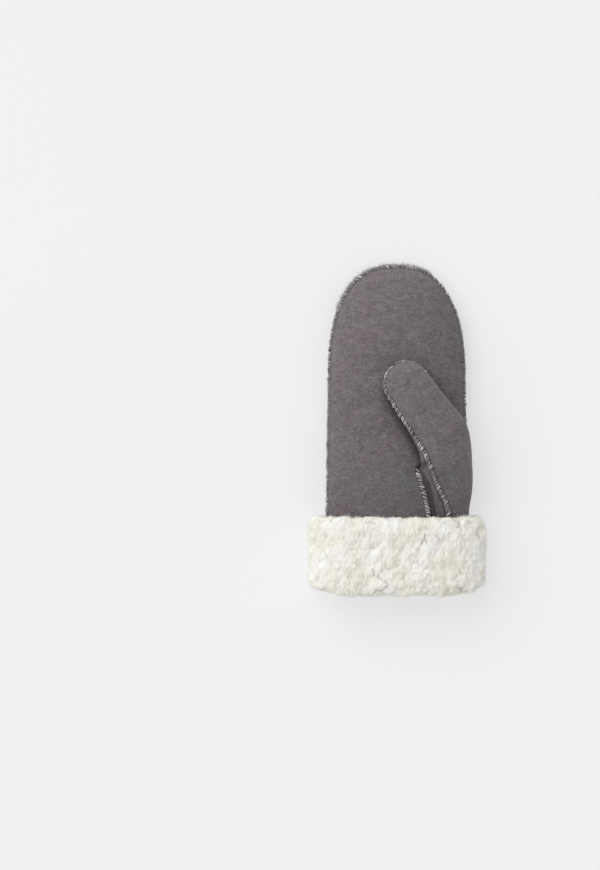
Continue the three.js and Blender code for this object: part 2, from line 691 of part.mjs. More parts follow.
// The cuff's outline in section. across is -1 at the mouth, 0 on the inside and 1 on the
// outside, and along is a share of cuffDepth from the fold. The hides start behind mouthEnd.
const mouthEnd = (panelStart - 1.25 * liningGap) / cuffDepth;
const cuffOutline = [
  { across: -1, along: mouthEnd },
  { across: -0.5, along: mouthEnd },
  { across: 0, along: mouthEnd },
  { across: 0, along: 0.397 },
  { across: 0, along: 0.635 },
  { across: 0, along: 0.841 },
  { across: 0.05, along: 0.968 },
  { across: 0.25, along: 1 },
  { across: 0.55, along: 1 },
  { across: 0.82, along: 0.96 },
  { across: 0.96, along: 0.889 },
  { across: 1, along: 0.794 },
  { across: 1, along: 0.698 },
  { across: 1, along: 0.603 },
  { across: 1, along: 0.508 },
  { across: 1, along: 0.413 },
  { across: 1, along: 0.317 },
  { across: 0.99, along: 0.222 },
  { across: 0.95, along: 0.135 },
  { across: 0.84, along: 0.063 },
  { across: 0.64, along: 0.019 },
  { across: 0.35, along: 0 },
  { across: 0, along: 0 },
  { across: -0.4, along: 0.019 },
  { across: -0.75, along: 0.063 },
  { across: -0.96, along: 0.127 },
];
function loopPoint(loop, turn) {
  const [c, s] = [Math.cos(turn), Math.sin(turn)];
  const middle = seamHeight(0);
  const top = floorLift + thickness(0) + cuffRoom + loop.pile * loop.top;
  const bottom = floorLift - 0.26 * cuffRoom - loop.pile * loop.bottom;
  const reach = s > 0 ? top - middle : middle - bottom;
  const power = 2 / loop.power;
  const half = wristWidth / 2 + cuffRoom + loop.pile;
  const x = half * Math.sign(c) * Math.pow(Math.abs(c), power);
  return vec(x, 0, middle + reach * Math.sign(s) * Math.pow(Math.abs(s), power));
}
// A repeatable scatter from 0 to 1.
function scatter(a, b) {
  const wave = Math.sin(a * 127.1 + b * 311.7) * 43758.5453;
  return wave - Math.floor(wave);
}
// The relief of the wool's locks, from -0.5 to 0.5, at a place measured in locks.
function lockHeight(round, along) {
  let best = 0;
  for (let row = Math.floor(along) - 1; row <= Math.floor(along) + 1; row++) {
    const first = Math.floor(round - 0.5 * (row & 1));
    for (let k = first - 1; k <= first + 1; k++) {
      const turn = ((k % lockTurns) + lockTurns) % lockTurns;
      const x = k + 0.5 * (row & 1) + 0.25 + 0.5 * scatter(turn, row);
      const y = row + 0.25 + 0.5 * scatter(row + 7, turn);
      best = Math.max(best, 1 - 1.5 * Math.hypot(round - x, along - y) ** 2);
    }
  }
  return best - 0.5;
}
// How many locks stand side by side round the cuff.
const girth = Array.from({ length: cuffTurns }, (_, i) => [i, i + 1])
  .map((ends) => ends.map((i) => loopPoint(cuffLoops[2], (2 * Math.PI * i) / cuffTurns)))
  .reduce((sum, [a, b]) => sum + a.distanceTo(b), 0);
const lockTurns = Math.round(girth / lockSize);
function cuffGeometry() {
  const points = [];
  for (let i = 0; i <= cuffTurns; i++) {
    const turn = (2 * Math.PI * (i % cuffTurns)) / cuffTurns;
    const [mouth, inside, outside] = cuffLoops.map((loop) => loopPoint(loop, turn));
    const outward = outside.clone().sub(inside).normalize();
    const bow = cuffBow * Math.pow(Math.cos(turn), 4);
    for (const { across, along: share } of cuffOutline) {
      const along = share * cuffDepth;
      const p = across < 0 ? inside.clone().lerp(mouth, -across) : inside.clone().lerp(outside, across);
      p.y = along < panelStart ? along + bow * (1 - along / panelStart) : along;
      const relief = lockRelief * smooth(0.3, 0.9, across);
      p.addScaledVector(outward, relief * lockHeight((i / cuffTurns) * lockTurns, along / lockSize));
      p.z = Math.max(0, p.z);
      points.push(p);
    }
    points.push(points[points.length - cuffOutline.length]);
  }
  return closedGeometry(points, gridFaces(cuffTurns + 1, cuffOutline.length + 1, 0, false));
}

function mesh(name, geometry, material) {
  const made = new THREE.Mesh(geometry, material);
  made.name = name;
  return made;
}
const suede = new THREE.MeshStandardMaterial({ color: "#6b6668", roughness: 0.95 });
const wool = new THREE.MeshStandardMaterial({ color: "#e9e6dc", roughness: 1 });

const mitten = new THREE.Group();
const back = solidFrom(handPanel(false));
const palm = solidFrom(handPanel(true));
const front = without(solidFrom(thumbPanel(true)), palmRoom());
const under = without(solidFrom(thumbPanel(false)), palmRoom());
const rooms = handSpace().add(thumbSpace());
const fleece = without(hollowSolid(), rooms.add(creaseSpace()));
mitten.add(mesh("back_panel", geometryFrom(back), suede));
mitten.add(mesh("palm_panel", geometryFrom(palm), suede));
mitten.add(mesh("thumb_front", geometryFrom(front), suede));
mitten.add(mesh("thumb_under", geometryFrom(under), suede));
mitten.add(mesh("fleece_lining", geometryFrom(fleece), wool));
mitten.add(mesh("cuff", cuffGeometry(), wool));
const box = new THREE.Box3().setFromObject(mitten);
mitten.position.set(-(box.min.x + box.max.x) / 2, -(box.min.y + box.max.y) / 2, 0);

const group = new THREE.Group();
group.add(mitten);
export default group;
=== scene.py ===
import bmesh
import bpy
import math
import numpy as np
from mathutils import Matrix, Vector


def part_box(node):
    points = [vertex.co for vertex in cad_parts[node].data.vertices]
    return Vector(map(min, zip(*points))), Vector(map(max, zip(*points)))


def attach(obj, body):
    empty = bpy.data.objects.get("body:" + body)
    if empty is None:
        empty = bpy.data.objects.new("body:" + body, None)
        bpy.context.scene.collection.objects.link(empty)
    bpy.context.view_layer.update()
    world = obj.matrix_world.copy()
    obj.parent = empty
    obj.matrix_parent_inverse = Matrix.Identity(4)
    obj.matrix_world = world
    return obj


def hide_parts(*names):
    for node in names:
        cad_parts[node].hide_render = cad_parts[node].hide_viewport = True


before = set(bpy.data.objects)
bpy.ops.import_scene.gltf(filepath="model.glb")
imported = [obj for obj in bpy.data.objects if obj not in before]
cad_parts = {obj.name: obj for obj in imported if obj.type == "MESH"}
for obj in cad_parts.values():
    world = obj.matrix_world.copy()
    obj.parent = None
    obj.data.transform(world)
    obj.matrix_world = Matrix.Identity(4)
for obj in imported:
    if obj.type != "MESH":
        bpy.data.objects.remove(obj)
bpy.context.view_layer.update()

# The hand and the thumb in millimetres, drawn with the cuff's fold at y = 0. Powers, shares
# and spreads have no unit.
mitten = dict(length=261, tipWidth=103, wristWidth=111, tipDepth=80, tipCurve=2.2, tipPower=2.6,
              thick=33, seamShare=0.44, swellPower=0.62, lift=9, liftFrom=152, liftTo=72,
              edgeReach=46, floorReach=26, start=12, hide=1.4)
thumb = dict(width=40, deep=22, rest=0.9, sink=3, dent=6.5, dentSpread=0.75, cuffDepth=63)

# The drawing is moved to where the solids lie: the back's hide begins at start.
backLow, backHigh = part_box("back_panel")
shiftX = 500 * (backLow.x + backHigh.x)
shiftY = 1000 * backLow.y - mitten["start"]

handSections = np.array([
    # along, thick
    [0.00, 0.92],
    [0.25, 0.97],
    [0.50, 1.00],
    [0.75, 0.93],
    [1.00, 0.78],
])
thumbStations = np.array([
    # along, aside, wide, deep, rise, seam, under
    [0.046, 0.72, 0.86, 1.10, 0.00, 90, 212],
    [0.240, 0.74, 0.90, 1.10, 0.06, 93, 212],
    [0.356, 0.725, 1.02, 1.06, 0.55, 125, 218],
    [0.405, 0.70, 1.02, 1.03, 0.93, 137, 255],
    [0.452, 0.655, 1.02, 1.00, 1.00, 147, 325],
    [0.540, 0.45, 0.99, 1.00, 1.00, 160, 333],
    [0.610, 0.235, 0.92, 0.96, 1.00, 170, 340],
    [0.643, 0.125, 0.87, 0.90, 1.00, 174, 346],
])
palmEdge = np.array([
    # at, along, aside, ridge
    [0.00, 0.046, 0.56, 1.0],
    [0.42, 0.240, 0.435, 1.0],
    [0.62, 0.325, 0.35, 1.0],
    [0.76, 0.378, 0.285, 0.9],
    [0.84, 0.396, 0.33, 0.2],
    [0.92, 0.424, 0.58, 0.05],
    [1.00, 0.490, 1.0, 0.05],
])
crotchAlong = 0.452
crotchY = 0.49 * mitten["length"]
straightEnd = mitten["length"] - mitten["tipDepth"]


def smooth(a, b, x):
    # Rises from 0 at a to 1 at b, level at both ends.
    t = np.clip((np.asarray(x, float) - a) / (b - a), 0, 1)
    return t * t * (3 - 2 * t)


def lerp(a, b, t):
    return a + (b - a) * t


def follow(rows, column, x):
    # A cubic through the table's rows whose slope at a row is the harmonic mean of its sides.
    x = np.asarray(x, float)
    at, value = rows[:, 0], rows[:, column]
    run = np.diff(value) / np.diff(at)
    slope = np.concatenate([[run[0]], np.zeros(len(run) - 1), [run[-1]]])
    both = run[:-1] * run[1:] > 0
    mean = 2 * run[:-1] * run[1:] / np.where(both, run[:-1] + run[1:], 1)
    slope[1:-1] = np.where(both, mean, 0)
    k = np.clip(np.searchsorted(at, x, side="right") - 1, 0, len(at) - 2)
    span = at[k + 1] - at[k]
    t = np.clip((x - at[k]) / span, 0, 1)
    back = 1 - t
    return (back * back * (1 + 2 * t) * value[k] + t * back * back * span * slope[k]
            + t * t * (3 - 2 * t) * value[k + 1] - t * t * back * span * slope[k + 1])


def seamHalfWidth(y):
    # A superellipse end on slightly flared sides.
    fromTip = mitten["length"] - np.asarray(y, float)
    half = lerp(mitten["tipWidth"], mitten["wristWidth"], fromTip / mitten["length"]) / 2
    rise = np.clip(1 - fromTip / mitten["tipDepth"], 0, 1)
    return half * np.power(np.clip(1 - rise ** mitten["tipCurve"], 0, 1), 1 / mitten["tipPower"])


def domePlaces(count):
    # Places up the rounded end, closer together towards its tip.
    turn = np.sin(np.linspace(0, math.pi / 2, count))
    return straightEnd + mitten["tipDepth"] * np.power(turn, 2 / mitten["tipCurve"])


outlineY = np.concatenate([np.linspace(0, straightEnd, 40)[:-1], domePlaces(48)])
outlineX = seamHalfWidth(outlineY)


def edgeDistance(x, y):
    # The least distance to the right half of the seam's outline, as x is folded to the right.
    x, y = np.broadcast_arrays(np.abs(np.asarray(x, float)), np.asarray(y, float))
    shape, x, y = x.shape, x.ravel(), y.ravel()
    ax, ay = outlineX[:-1], outlineY[:-1]
    dx, dy = np.diff(outlineX), np.diff(outlineY)
    best = np.empty(len(x))
    for part in np.array_split(np.arange(len(x)), max(1, len(x) // 20000)):
        px, py = x[part, None] - ax, y[part, None] - ay
        t = np.clip((px * dx + py * dy) / (dx * dx + dy * dy), 0, 1)
        best[part] = np.hypot(px - t * dx, py - t * dy).min(1)
    return best.reshape(shape)


def swell(distance, reach):
    # How full the wool pushes the hide out at a distance from its seam, from 0 to 1.
    return np.power(1 - (1 - np.clip(distance / reach, 0, 1)) ** 2, mitten["swellPower"])


def lift(y):
    return mitten["lift"] * smooth(mitten["liftFrom"], mitten["liftTo"], y)


def thickness(y):
    return mitten["thick"] * follow(handSections, 1, np.asarray(y, float) / mitten["length"])


def seamHeight(y):
    return lift(y) + mitten["seamShare"] * thickness(y)


def spinePlan(along):
    aside = follow(thumbStations, 1, along) * mitten["wristWidth"] / 2
    return np.stack([aside, along * mitten["length"]], -1)


spineSamples = spinePlan(np.linspace(0.3, thumbStations[-1, 0], 25))


def dent(x, y):
    # A bell-shaped hollow along the thumb, which fades out under the cuff.
    x, y = np.broadcast_arrays(np.asarray(x, float), np.asarray(y, float))
    away = np.hypot(x[..., None] - spineSamples[:, 0], y[..., None] - spineSamples[:, 1]).min(-1)
    spread = away / (thumb["dentSpread"] * thumb["width"])
    return thumb["dent"] * np.exp(-spread ** 2) * smooth(mitten["start"], thumb["cuffDepth"] + 20, y)


def palmHeight(x, y):
    # The palm's flesh side: from the seam's height up to the crown, less the thumb's dent.
    seam = seamHeight(y)
    crown = lift(y) + thickness(y) - mitten["hide"]
    rise = swell(edgeDistance(x, y), mitten["edgeReach"])
    return seam + (crown - seam) * rise - dent(x, y) * rise


def backHeight(x, y):
    # The back's flesh side: from the seam's height down to a flat floor.
    seam = seamHeight(y)
    rise = swell(edgeDistance(x, y), mitten["floorReach"])
    return seam - (seam - lift(y) - mitten["hide"]) * rise


print("pattern ready")


def signedPower(a, power):
    return np.sign(a) * np.abs(a) ** power


def dot(a, b):
    return (a * b).sum(-1, keepdims=True)


def unit(a):
    return a / np.maximum(np.linalg.norm(a, axis=-1, keepdims=True), 1e-9)


def station(along, column):
    return follow(thumbStations, column, along)


thumbStart, thumbEnd = thumbStations[0, 0], thumbStations[-1, 0]
upward = np.array([0.0, 0.0, 1.0])


def thumbFrames(along, turn):
    # Each frame is an ellipse across the thumb; turn carries its sides forward round the end.
    step = 0.004
    centre = spinePlan(along)
    ahead = spinePlan(np.minimum(thumbEnd, along + step))
    forward = ahead - spinePlan(np.minimum(thumbEnd - step, along - step))
    forward = np.concatenate([unit(forward), np.zeros((len(along), 1))], 1)
    right = np.stack([forward[:, 1], -forward[:, 0], 0 * along], 1)
    c, s = np.cos(np.radians(turn))[:, None], np.sin(np.radians(turn))[:, None]
    wide = station(along, 2) * thumb["width"] / 2 - mitten["hide"]
    deep = station(along, 3) * thumb["deep"] / 2 - mitten["hide"]
    palm = palmHeight(centre[:, 0], centre[:, 1]) + mitten["hide"]
    rest = palm + thumb["rest"] + mitten["hide"] + deep
    height = lerp(palm - deep + thumb["sink"], rest, station(along, 4))
    return dict(along=along, centre=np.column_stack([centre, height])[:, None],
                wide=wide[:, None, None], deep=deep[:, None, None],
                right=(right * c + forward * s)[:, None], left=(-right * c + forward * s)[:, None],
                seam=lerp(station(along, 5), 180, turn / 90)[:, None],
                under=lerp(station(along, 6), 360, turn / 90)[:, None])


def thumbSides(frames, angle):
    a = np.radians(angle)[..., None]
    return a, np.where(np.cos(a) > 0, frames["right"], frames["left"])


def thumbPoint(frames, angle):
    # centre + side * wide * |cos| + up * deep * sin
    a, side = thumbSides(frames, angle)
    across = side * frames["wide"] * np.abs(np.cos(a))
    return frames["centre"] + across + upward * frames["deep"] * np.sin(a)


def thumbOutward(frames, angle):
    # The way out of the ellipse: side * deep * |cos| + up * wide * sin, made one long.
    a, side = thumbSides(frames, angle)
    return unit(side * frames["deep"] * np.abs(np.cos(a)) + upward * frames["wide"] * np.sin(a))


def thumbRound(frames, angle):
    # The way round it as the angle grows: the same ellipse's slope.
    a, side = thumbSides(frames, angle)
    turned = side * -np.sin(a) * np.sign(np.cos(a)) * frames["wide"]
    return unit(turned + upward * frames["deep"] * np.cos(a))


def tubeShare(y):
    # The thumb is flat in the cuff and round past it.
    return smooth(mitten["start"] + 20, thumb["cuffDepth"] + 22, y)


# A seam's raw edges: how high they stand, the gap between the two, and how far the gusset stays
# beside the palm's edge.
ridgeHeight = 2.0
seamGap = 0.3
edgeRoom = 2.2


def sideSeam(y, side):
    # The side seam's points, with the way its raw edges stand and the way to the palm's hide.
    y = np.asarray(y, float)
    top = np.minimum(y + 0.5, mitten["length"])
    run = unit(np.stack([seamHalfWidth(top) - seamHalfWidth(top - 1), np.ones_like(y)], -1))
    stand = np.stack([run[:, 1] * side, -run[:, 0], 0 * y], 1)
    stand[y >= mitten["length"]] = (0, 1, 0)
    points = np.stack([side * seamHalfWidth(y), y, seamHeight(y)], 1)
    return dict(points=points, stand=stand, over=np.broadcast_to(upward, stand.shape),
                ridge=np.full(len(y), ridgeHeight))


def palmSeam(at):
    # The palm's cut edge beside the thumb.
    def place(t):
        return np.stack([follow(palmEdge, 2, t) * mitten["wristWidth"] / 2,
                         follow(palmEdge, 1, t) * mitten["length"]], -1)

    at = np.asarray(at, float)
    p = place(at)
    run = unit(place(np.minimum(1, at + 0.01)) - place(np.maximum(0, at - 0.01)))
    p[at >= 1, 0] = seamHalfWidth(p[at >= 1, 1])
    points = np.column_stack([p, palmHeight(p[:, 0], p[:, 1])])
    over = np.column_stack([-run[:, 1], run[:, 0], 0 * at])
    return dict(points=points, stand=np.broadcast_to(upward, points.shape), over=over,
                ridge=ridgeHeight * follow(palmEdge, 3, at))


edgeSamples = palmSeam(np.linspace(0, 1, 41))
crotchSide = sideSeam(np.array([crotchY]), 1)
crotchFrames = thumbFrames(np.array([crotchAlong]), np.array([0.0]))
underShift = crotchSide["points"][0] - thumbPoint(crotchFrames, crotchFrames["under"])[0, 0]


def nearestEdge(p):
    away = np.linalg.norm(p[..., None, :] - edgeSamples["points"], axis=-1)
    return away.argmin(-1)


def pastEdge(p):
    k = nearestEdge(p)
    return dot(p[..., :2] - edgeSamples["points"][k][..., :2], edgeSamples["over"][k][..., :2])[..., 0]


def heightNormals(height, p, sign):
    # Square to the slopes of a height over a short step each way.
    x, y, step = p[..., 0], p[..., 1], 0.4
    dx = (height(x + step, y) - height(x - step, y)) / (2 * step)
    dy = (height(x, y + step) - height(x, y - step)) / (2 * step)
    return unit(np.stack([-dx * sign, -dy * sign, np.full_like(dx, sign)], -1))


def clearOfPalm(p):
    # The least height of the thumb's flesh side over a place on the palm.
    normal = heightNormals(palmHeight, p, 1)
    clearance = (2 * mitten["hide"] + 0.4) / normal[..., 2]
    least = palmHeight(p[..., 0], p[..., 1]) + clearance * smooth(0, 2.5, pastEdge(p))
    return np.where(np.abs(p[..., 0]) > seamHalfWidth(p[..., 1]), -1e9, least)


def frontSeam(frames):
    tube = thumbPoint(frames, frames["seam"])[:, 0]
    flat = tube.copy()
    flat[:, 2] = palmHeight(tube[:, 0], tube[:, 1])
    share = tubeShare(tube[:, 1])[:, None]
    return dict(points=lerp(flat, tube, share), stand=thumbOutward(frames, frames["seam"])[:, 0],
                over=-thumbRound(frames, frames["seam"])[:, 0],
                ridge=np.full(len(tube), ridgeHeight))


def endSeam(frames, front):
    # Where a thumb row ends: the side seam or the palm's edge, and then the seam under it.
    along = frames["along"]
    share = np.clip((along - thumbStart) / (crotchAlong - thumbStart), 0, 1)
    below = (along < crotchAlong)[:, None]
    low = sideSeam(lerp(mitten["start"], crotchY, share), 1) if front else palmSeam(share)
    free = smooth(crotchAlong + 0.01, crotchAlong + 0.12, along)[:, None]
    risen = smooth(crotchAlong, crotchAlong + 0.03, along)
    stand = unit(lerp(crotchSide["stand"], thumbOutward(frames, frames["under"])[:, 0], free))
    over = unit(lerp(crotchSide["over"], thumbRound(frames, frames["under"])[:, 0], free))
    tube = thumbPoint(frames, frames["under"])[:, 0]
    points = tube + underShift * (1 - free)
    points[:, 2] = tube[:, 2] + underShift[2] * (1 - risen)
    points[:, 2] = np.maximum(points[:, 2], clearOfPalm(points) + 0.5)
    return dict(points=np.where(below, low["points"], points),
                stand=np.where(below, low["stand"], stand),
                over=np.where(below, low["over"], over),
                ridge=np.where(below[:, 0], low["ridge"], ridgeHeight * lerp(0.3, 1, free[:, 0])))


def thumbGrid(frames, front, columns):
    # Rows of the flesh side: the ellipse between its two seams, eased onto the real seams.
    start, end = frontSeam(frames)["points"][:, None], endSeam(frames, front)["points"][:, None]
    below = (frames["along"] < crotchAlong)[:, None]
    last = frames["under"]
    if front:
        last = np.where(below, station(crotchAlong, 6), last) - 360
    u = np.linspace(0, 1, columns)[None]
    tube = thumbPoint(frames, frames["seam"] + (last - frames["seam"]) * u)
    startMove = start - thumbPoint(frames, frames["seam"])
    endMove = end - thumbPoint(frames, last)
    u = u[..., None]
    tube = tube + startMove * (1 - u) ** 2 + endMove * (u ** 2 if front else u ** 3)
    flat = lerp(start, end, u)
    flat[..., 2] = palmHeight(flat[..., 0], flat[..., 1])
    grid = lerp(flat, tube, tubeShare(tube[..., 1])[..., None])
    if not front:
        past = pastEdge(grid)
        beside = (frames["along"] < 0.37)[:, None] & (past > -edgeRoom)
        push = np.where(beside, -edgeRoom - past, 0)[..., None]
        grid = grid + push * edgeSamples["over"][nearestEdge(grid)]
    lifted = np.maximum(grid[..., 2], clearOfPalm(grid))
    grid[..., 2] = np.where(below & front, grid[..., 2], lifted)
    grid[:, 0], grid[:, -1] = start[:, 0], end[:, 0]
    return grid


def gridNormals(grid, sign):
    across = np.gradient(grid, axis=1)
    down = np.gradient(grid, axis=0)
    normals = unit(np.cross(across, down) * sign)
    normals[-1] = unit(normals[-1] + normals[-1, ::-1])
    return normals


def edgedSheet(grid, outer, seams, sides, rough):
    # Joins two raw edges to the flesh and outer sides of a hide, row by row. Each edge turns
    # out of the seam along stand, one hide thick, with a rounded, slightly ragged tip.
    h = mitten["hide"]

    def edge(seam, side):
        over = seam["over"] * side
        ridge = (seam["ridge"] * rough)[:, None]
        foot = seam["points"] + over * seamGap / 2
        tip = foot + seam["stand"] * ridge
        inner = [foot, lerp(foot, tip, 0.5), tip - seam["stand"] * 0.1 * ridge]
        away = np.clip(ridge / h, 0, 1)
        outer = [foot + over * h * 1.6 + seam["stand"] * 0.1 * h * away,
                 foot + over * h * 1.15 + seam["stand"] * 0.5 * h * away,
                 foot + over * h + seam["stand"] * np.maximum(ridge - 0.5, 0.3 * ridge),
                 tip + over * 0.72 * h, tip + over * 0.25 * h]
        return inner, outer

    innerStart, outerStart = edge(seams[0], sides[0])
    innerEnd, outerEnd = edge(seams[1], sides[1])
    ring = innerStart[::-1] + [grid[:, j] for j in range(1, grid.shape[1] - 1)] + innerEnd
    back = outerEnd[::-1] + [outer[:, j] for j in range(outer.shape[1] - 2, 0, -1)] + outerStart
    points = np.stack(ring + back, 1)
    # How dark the hide is beside its seams, where the stitches pull it down: painted shade.
    reach = [np.linalg.norm(outer - seam["points"][:, None], axis=-1) for seam in seams]
    body = smooth(3.6, 2.1, np.minimum(*reach))[:, -2:0:-1]
    inner = np.zeros((len(grid), len(ring)))
    # The raw edges' outer sides are painted dark all over: painted shade of the seam.
    edges = np.ones((len(grid), len(outerEnd)))
    return points, np.concatenate([inner, edges, body, edges], 1)


def placed(name, data, place):
    made = bpy.data.objects.new(name, data)
    made.location = place
    bpy.context.collection.objects.link(made)
    return made


def makeMesh(name, points, faces, smoothShaded=True, attributes=None):
    # Points are in pattern millimetres, and the mesh is in metres where the solids lie.
    points = np.asarray(points, float).reshape(-1, 3)
    place = (points + (shiftX, shiftY, 0)) / 1000
    faces = np.asarray(faces, np.int32)
    mesh = bpy.data.meshes.new(name)
    mesh.vertices.add(len(place))
    mesh.vertices.foreach_set("co", place.ravel().astype(np.float32))
    corners = faces.shape[1]
    mesh.loops.add(faces.size)
    mesh.loops.foreach_set("vertex_index", faces.ravel())
    mesh.polygons.add(len(faces))
    mesh.polygons.foreach_set("loop_start", np.arange(0, faces.size, corners, dtype=np.int32))
    mesh.polygons.foreach_set("use_smooth", np.full(len(faces), smoothShaded))
    for key, value in (attributes or {}).items():
        layer = mesh.attributes.new(key, "FLOAT", "POINT")
        layer.data.foreach_set("value", np.asarray(value, np.float32).ravel())
    mesh.update(calc_edges=True)
    mesh.validate()
    return placed(name, mesh, (0, 0, 0))


def ringFaces(rows, ring):
    # Quads between rows of points that each close on themselves.
    i = np.arange(rows - 1)[:, None] * ring
    j = np.arange(ring)[None]
    k = (j + 1) % ring
    return np.stack([i + j, i + k, i + ring + k, i + ring + j], -1).reshape(-1, 4)


def ringCap(ring):
    # Quads straight across one closed row.
    half = np.arange(ring // 2 - 1)
    across = ring - 1 - half
    return np.stack([half, across, across - 1, half + 1], -1)


def outwards(points, faces):
    # Turns the faces over where the volume that they enclose comes out negative.
    p = np.asarray(points).reshape(-1, 3)
    a, b, c, d = (p[faces[:, k]] for k in range(4))
    volume = (a * np.cross(b, c)).sum() + (a * np.cross(c, d)).sum()
    return faces if volume > 0 else faces[:, ::-1]


def awayFrom(line, x, y):
    # The least distance in plan to the points of a line.
    return np.sqrt(np.min((x[:, None] - line[:, 0]) ** 2 + (y[:, None] - line[:, 1]) ** 2, 1))


# Painted shade on the hides: darker toward the wrist and toward the thumb's side, away from the light,
# and less so on the thumb itself.
# The palm is painted dark beside the thumb, and the gusset in its crease beside the palm's edge.
shadePaint = dict(wrist=0.34, wristFrom=215, wristTo=75, side=0.36, sideFrom=-10, sideTo=60,
           thumbShare=0.45, thumbShade=0.75, thumbShadeFrom=14, thumbShadeTo=1, crease=1.2, creaseFrom=2.4,
           creaseTo=0.6, wideFrom=107, wideTo=86)


def paintedShadeDepth(name, x, y):
    # Painted shade, darker toward the wrist and the thumb's side.
    deep = shadePaint["wrist"] * smooth(shadePaint["wristFrom"], shadePaint["wristTo"], y)
    deep = deep + shadePaint["side"] * smooth(shadePaint["sideFrom"], shadePaint["sideTo"], x)
    if name == "thumb_front_hide":
        deep = deep * shadePaint["thumbShare"]
    if name == "palm_hide":
        # Painted shade on the palm beside the thumb, where the thumb's shadow falls.
        seam = frontSeam(thumbFrames(np.linspace(0.2, thumbEnd, 110), np.zeros(110)))["points"]
        besideThumb = smooth(shadePaint["thumbShadeFrom"], shadePaint["thumbShadeTo"], awayFrom(seam, x, y))
        deep = deep + shadePaint["thumbShade"] * besideThumb * smooth(88, 112, y)
    if name == "thumb_under_hide":
        # Painted shade in the gusset's crease beside the palm's edge, wider toward the wrist.
        away = awayFrom(palmSeam(np.linspace(0.2, 0.98, 90))["points"], x, y)
        wide = smooth(shadePaint["wideFrom"], shadePaint["wideTo"], y)
        creaseShade = smooth(shadePaint["creaseFrom"] + 5 * wide, shadePaint["creaseTo"] + 4 * wide, away)
        deep = deep + shadePaint["crease"] * creaseShade
    return np.clip(deep, 0, 1)


def fromSheet(name, sheetAndEdge):
    # A sheet's rows are closed rings of points, and its first one is closed across the hide.
    sheet, edge = sheetAndEdge
    rows, ring = sheet.shape[:2]
    faces = np.concatenate([ringFaces(rows, ring), ringCap(ring)])
    piece = makeMesh(name, sheet, outwards(sheet, faces), attributes={"edge": edge})
    # The last row lies folded on itself, so its doubles are joined.
    shape = bmesh.new()
    shape.from_mesh(piece.data)
    shape.verts.ensure_lookup_table()
    bmesh.ops.remove_doubles(shape, verts=shape.verts[(rows - 1) * ring:], dist=4e-6)
    shape.to_mesh(piece.data)
    shape.free()
    places = np.empty(len(piece.data.vertices) * 3, np.float32)
    piece.data.vertices.foreach_get("co", places)
    x, y = (places.reshape(-1, 3) * 1000 - (shiftX, shiftY, 0)).T[:2]
    # The painted shade goes on each hide as an attribute of its points.
    paintedShade = piece.data.attributes.new("paintedShade", "FLOAT", "POINT")
    paintedShade.data.foreach_set("value", paintedShadeDepth(name, x, y).astype(np.float32))
    return piece


print("seams ready")


# The palm and the back: rows of points from side seam to side seam, closer together at the
# seams, and sunk at the creases of worn suede.
hand = dict(rows=236, across=58, crease=0.55, slack=0.35, slackLength=34, even=13, ragged=0.16)
creases = np.array([
    # x, y, length, width, turn in degrees, depth
    [-26, 226, 15, 1.5, 8, 0.50],
    [-22, 221, 18, 1.3, 4, 0.42],
    [-30, 216, 12, 1.4, -6, 0.38],
    [-14, 210, 16, 1.8, -3, 0.30],
    [-36, 180, 9, 2.2, 80, 0.35],
    [-20, 150, 14, 3.0, 60, 0.30],
    [-30, 96, 16, 2.4, 15, 0.40],
    [-24, 88, 14, 2.0, 8, 0.35],
    [-42, 110, 10, 2.2, 40, 0.30],
    [2, 92, 12, 2.6, -30, 0.35],
    [20, 225, 14, 1.8, -12, 0.30],
    [34, 205, 12, 2.2, -30, 0.30],
])


def waves(x, y, seed, length, count=26):
    # A sum of plane waves of about one length in all directions, from -1 to 1.
    rng = np.random.default_rng(seed)
    turn = rng.uniform(0, 2 * math.pi, count)
    size = 2 * math.pi / (length * rng.uniform(0.6, 1.6, count))
    phase = rng.uniform(0, 2 * math.pi, count)
    total = np.zeros(np.broadcast(x, y).shape)
    for t, s, f in zip(turn, size, phase):
        total += np.sin((x * math.cos(t) + y * math.sin(t)) * s + f)
    return total / math.sqrt(count) / 1.6


def creaseDepth(x, y, rows):
    # Each crease is a bell across its width that fades out along its length.
    total = np.zeros(x.shape)
    for cx, cy, length, width, turn, depth in rows:
        c, s = math.cos(math.radians(turn)), math.sin(math.radians(turn))
        u, v = (x - cx) * c + (y - cy) * s, -(x - cx) * s + (y - cy) * c
        v = v + 1.2 * np.sin(u / length * 2.4 + cx)
        bell = np.exp(-(v / width) ** 2) - 0.55 * np.exp(-((np.abs(v) - 1.9 * width) / width) ** 2)
        total += depth * bell * np.exp(-(u / length) ** 4)
    return total


def raggedEdge(x, y, seed):
    return 1 + hand["ragged"] * waves(x, y, seed, 5)


def handPlaces(count):
    base = np.linspace(mitten["start"], straightEnd, int(count * 0.62), endpoint=False)
    return np.concatenate([base, domePlaces(count - len(base))])


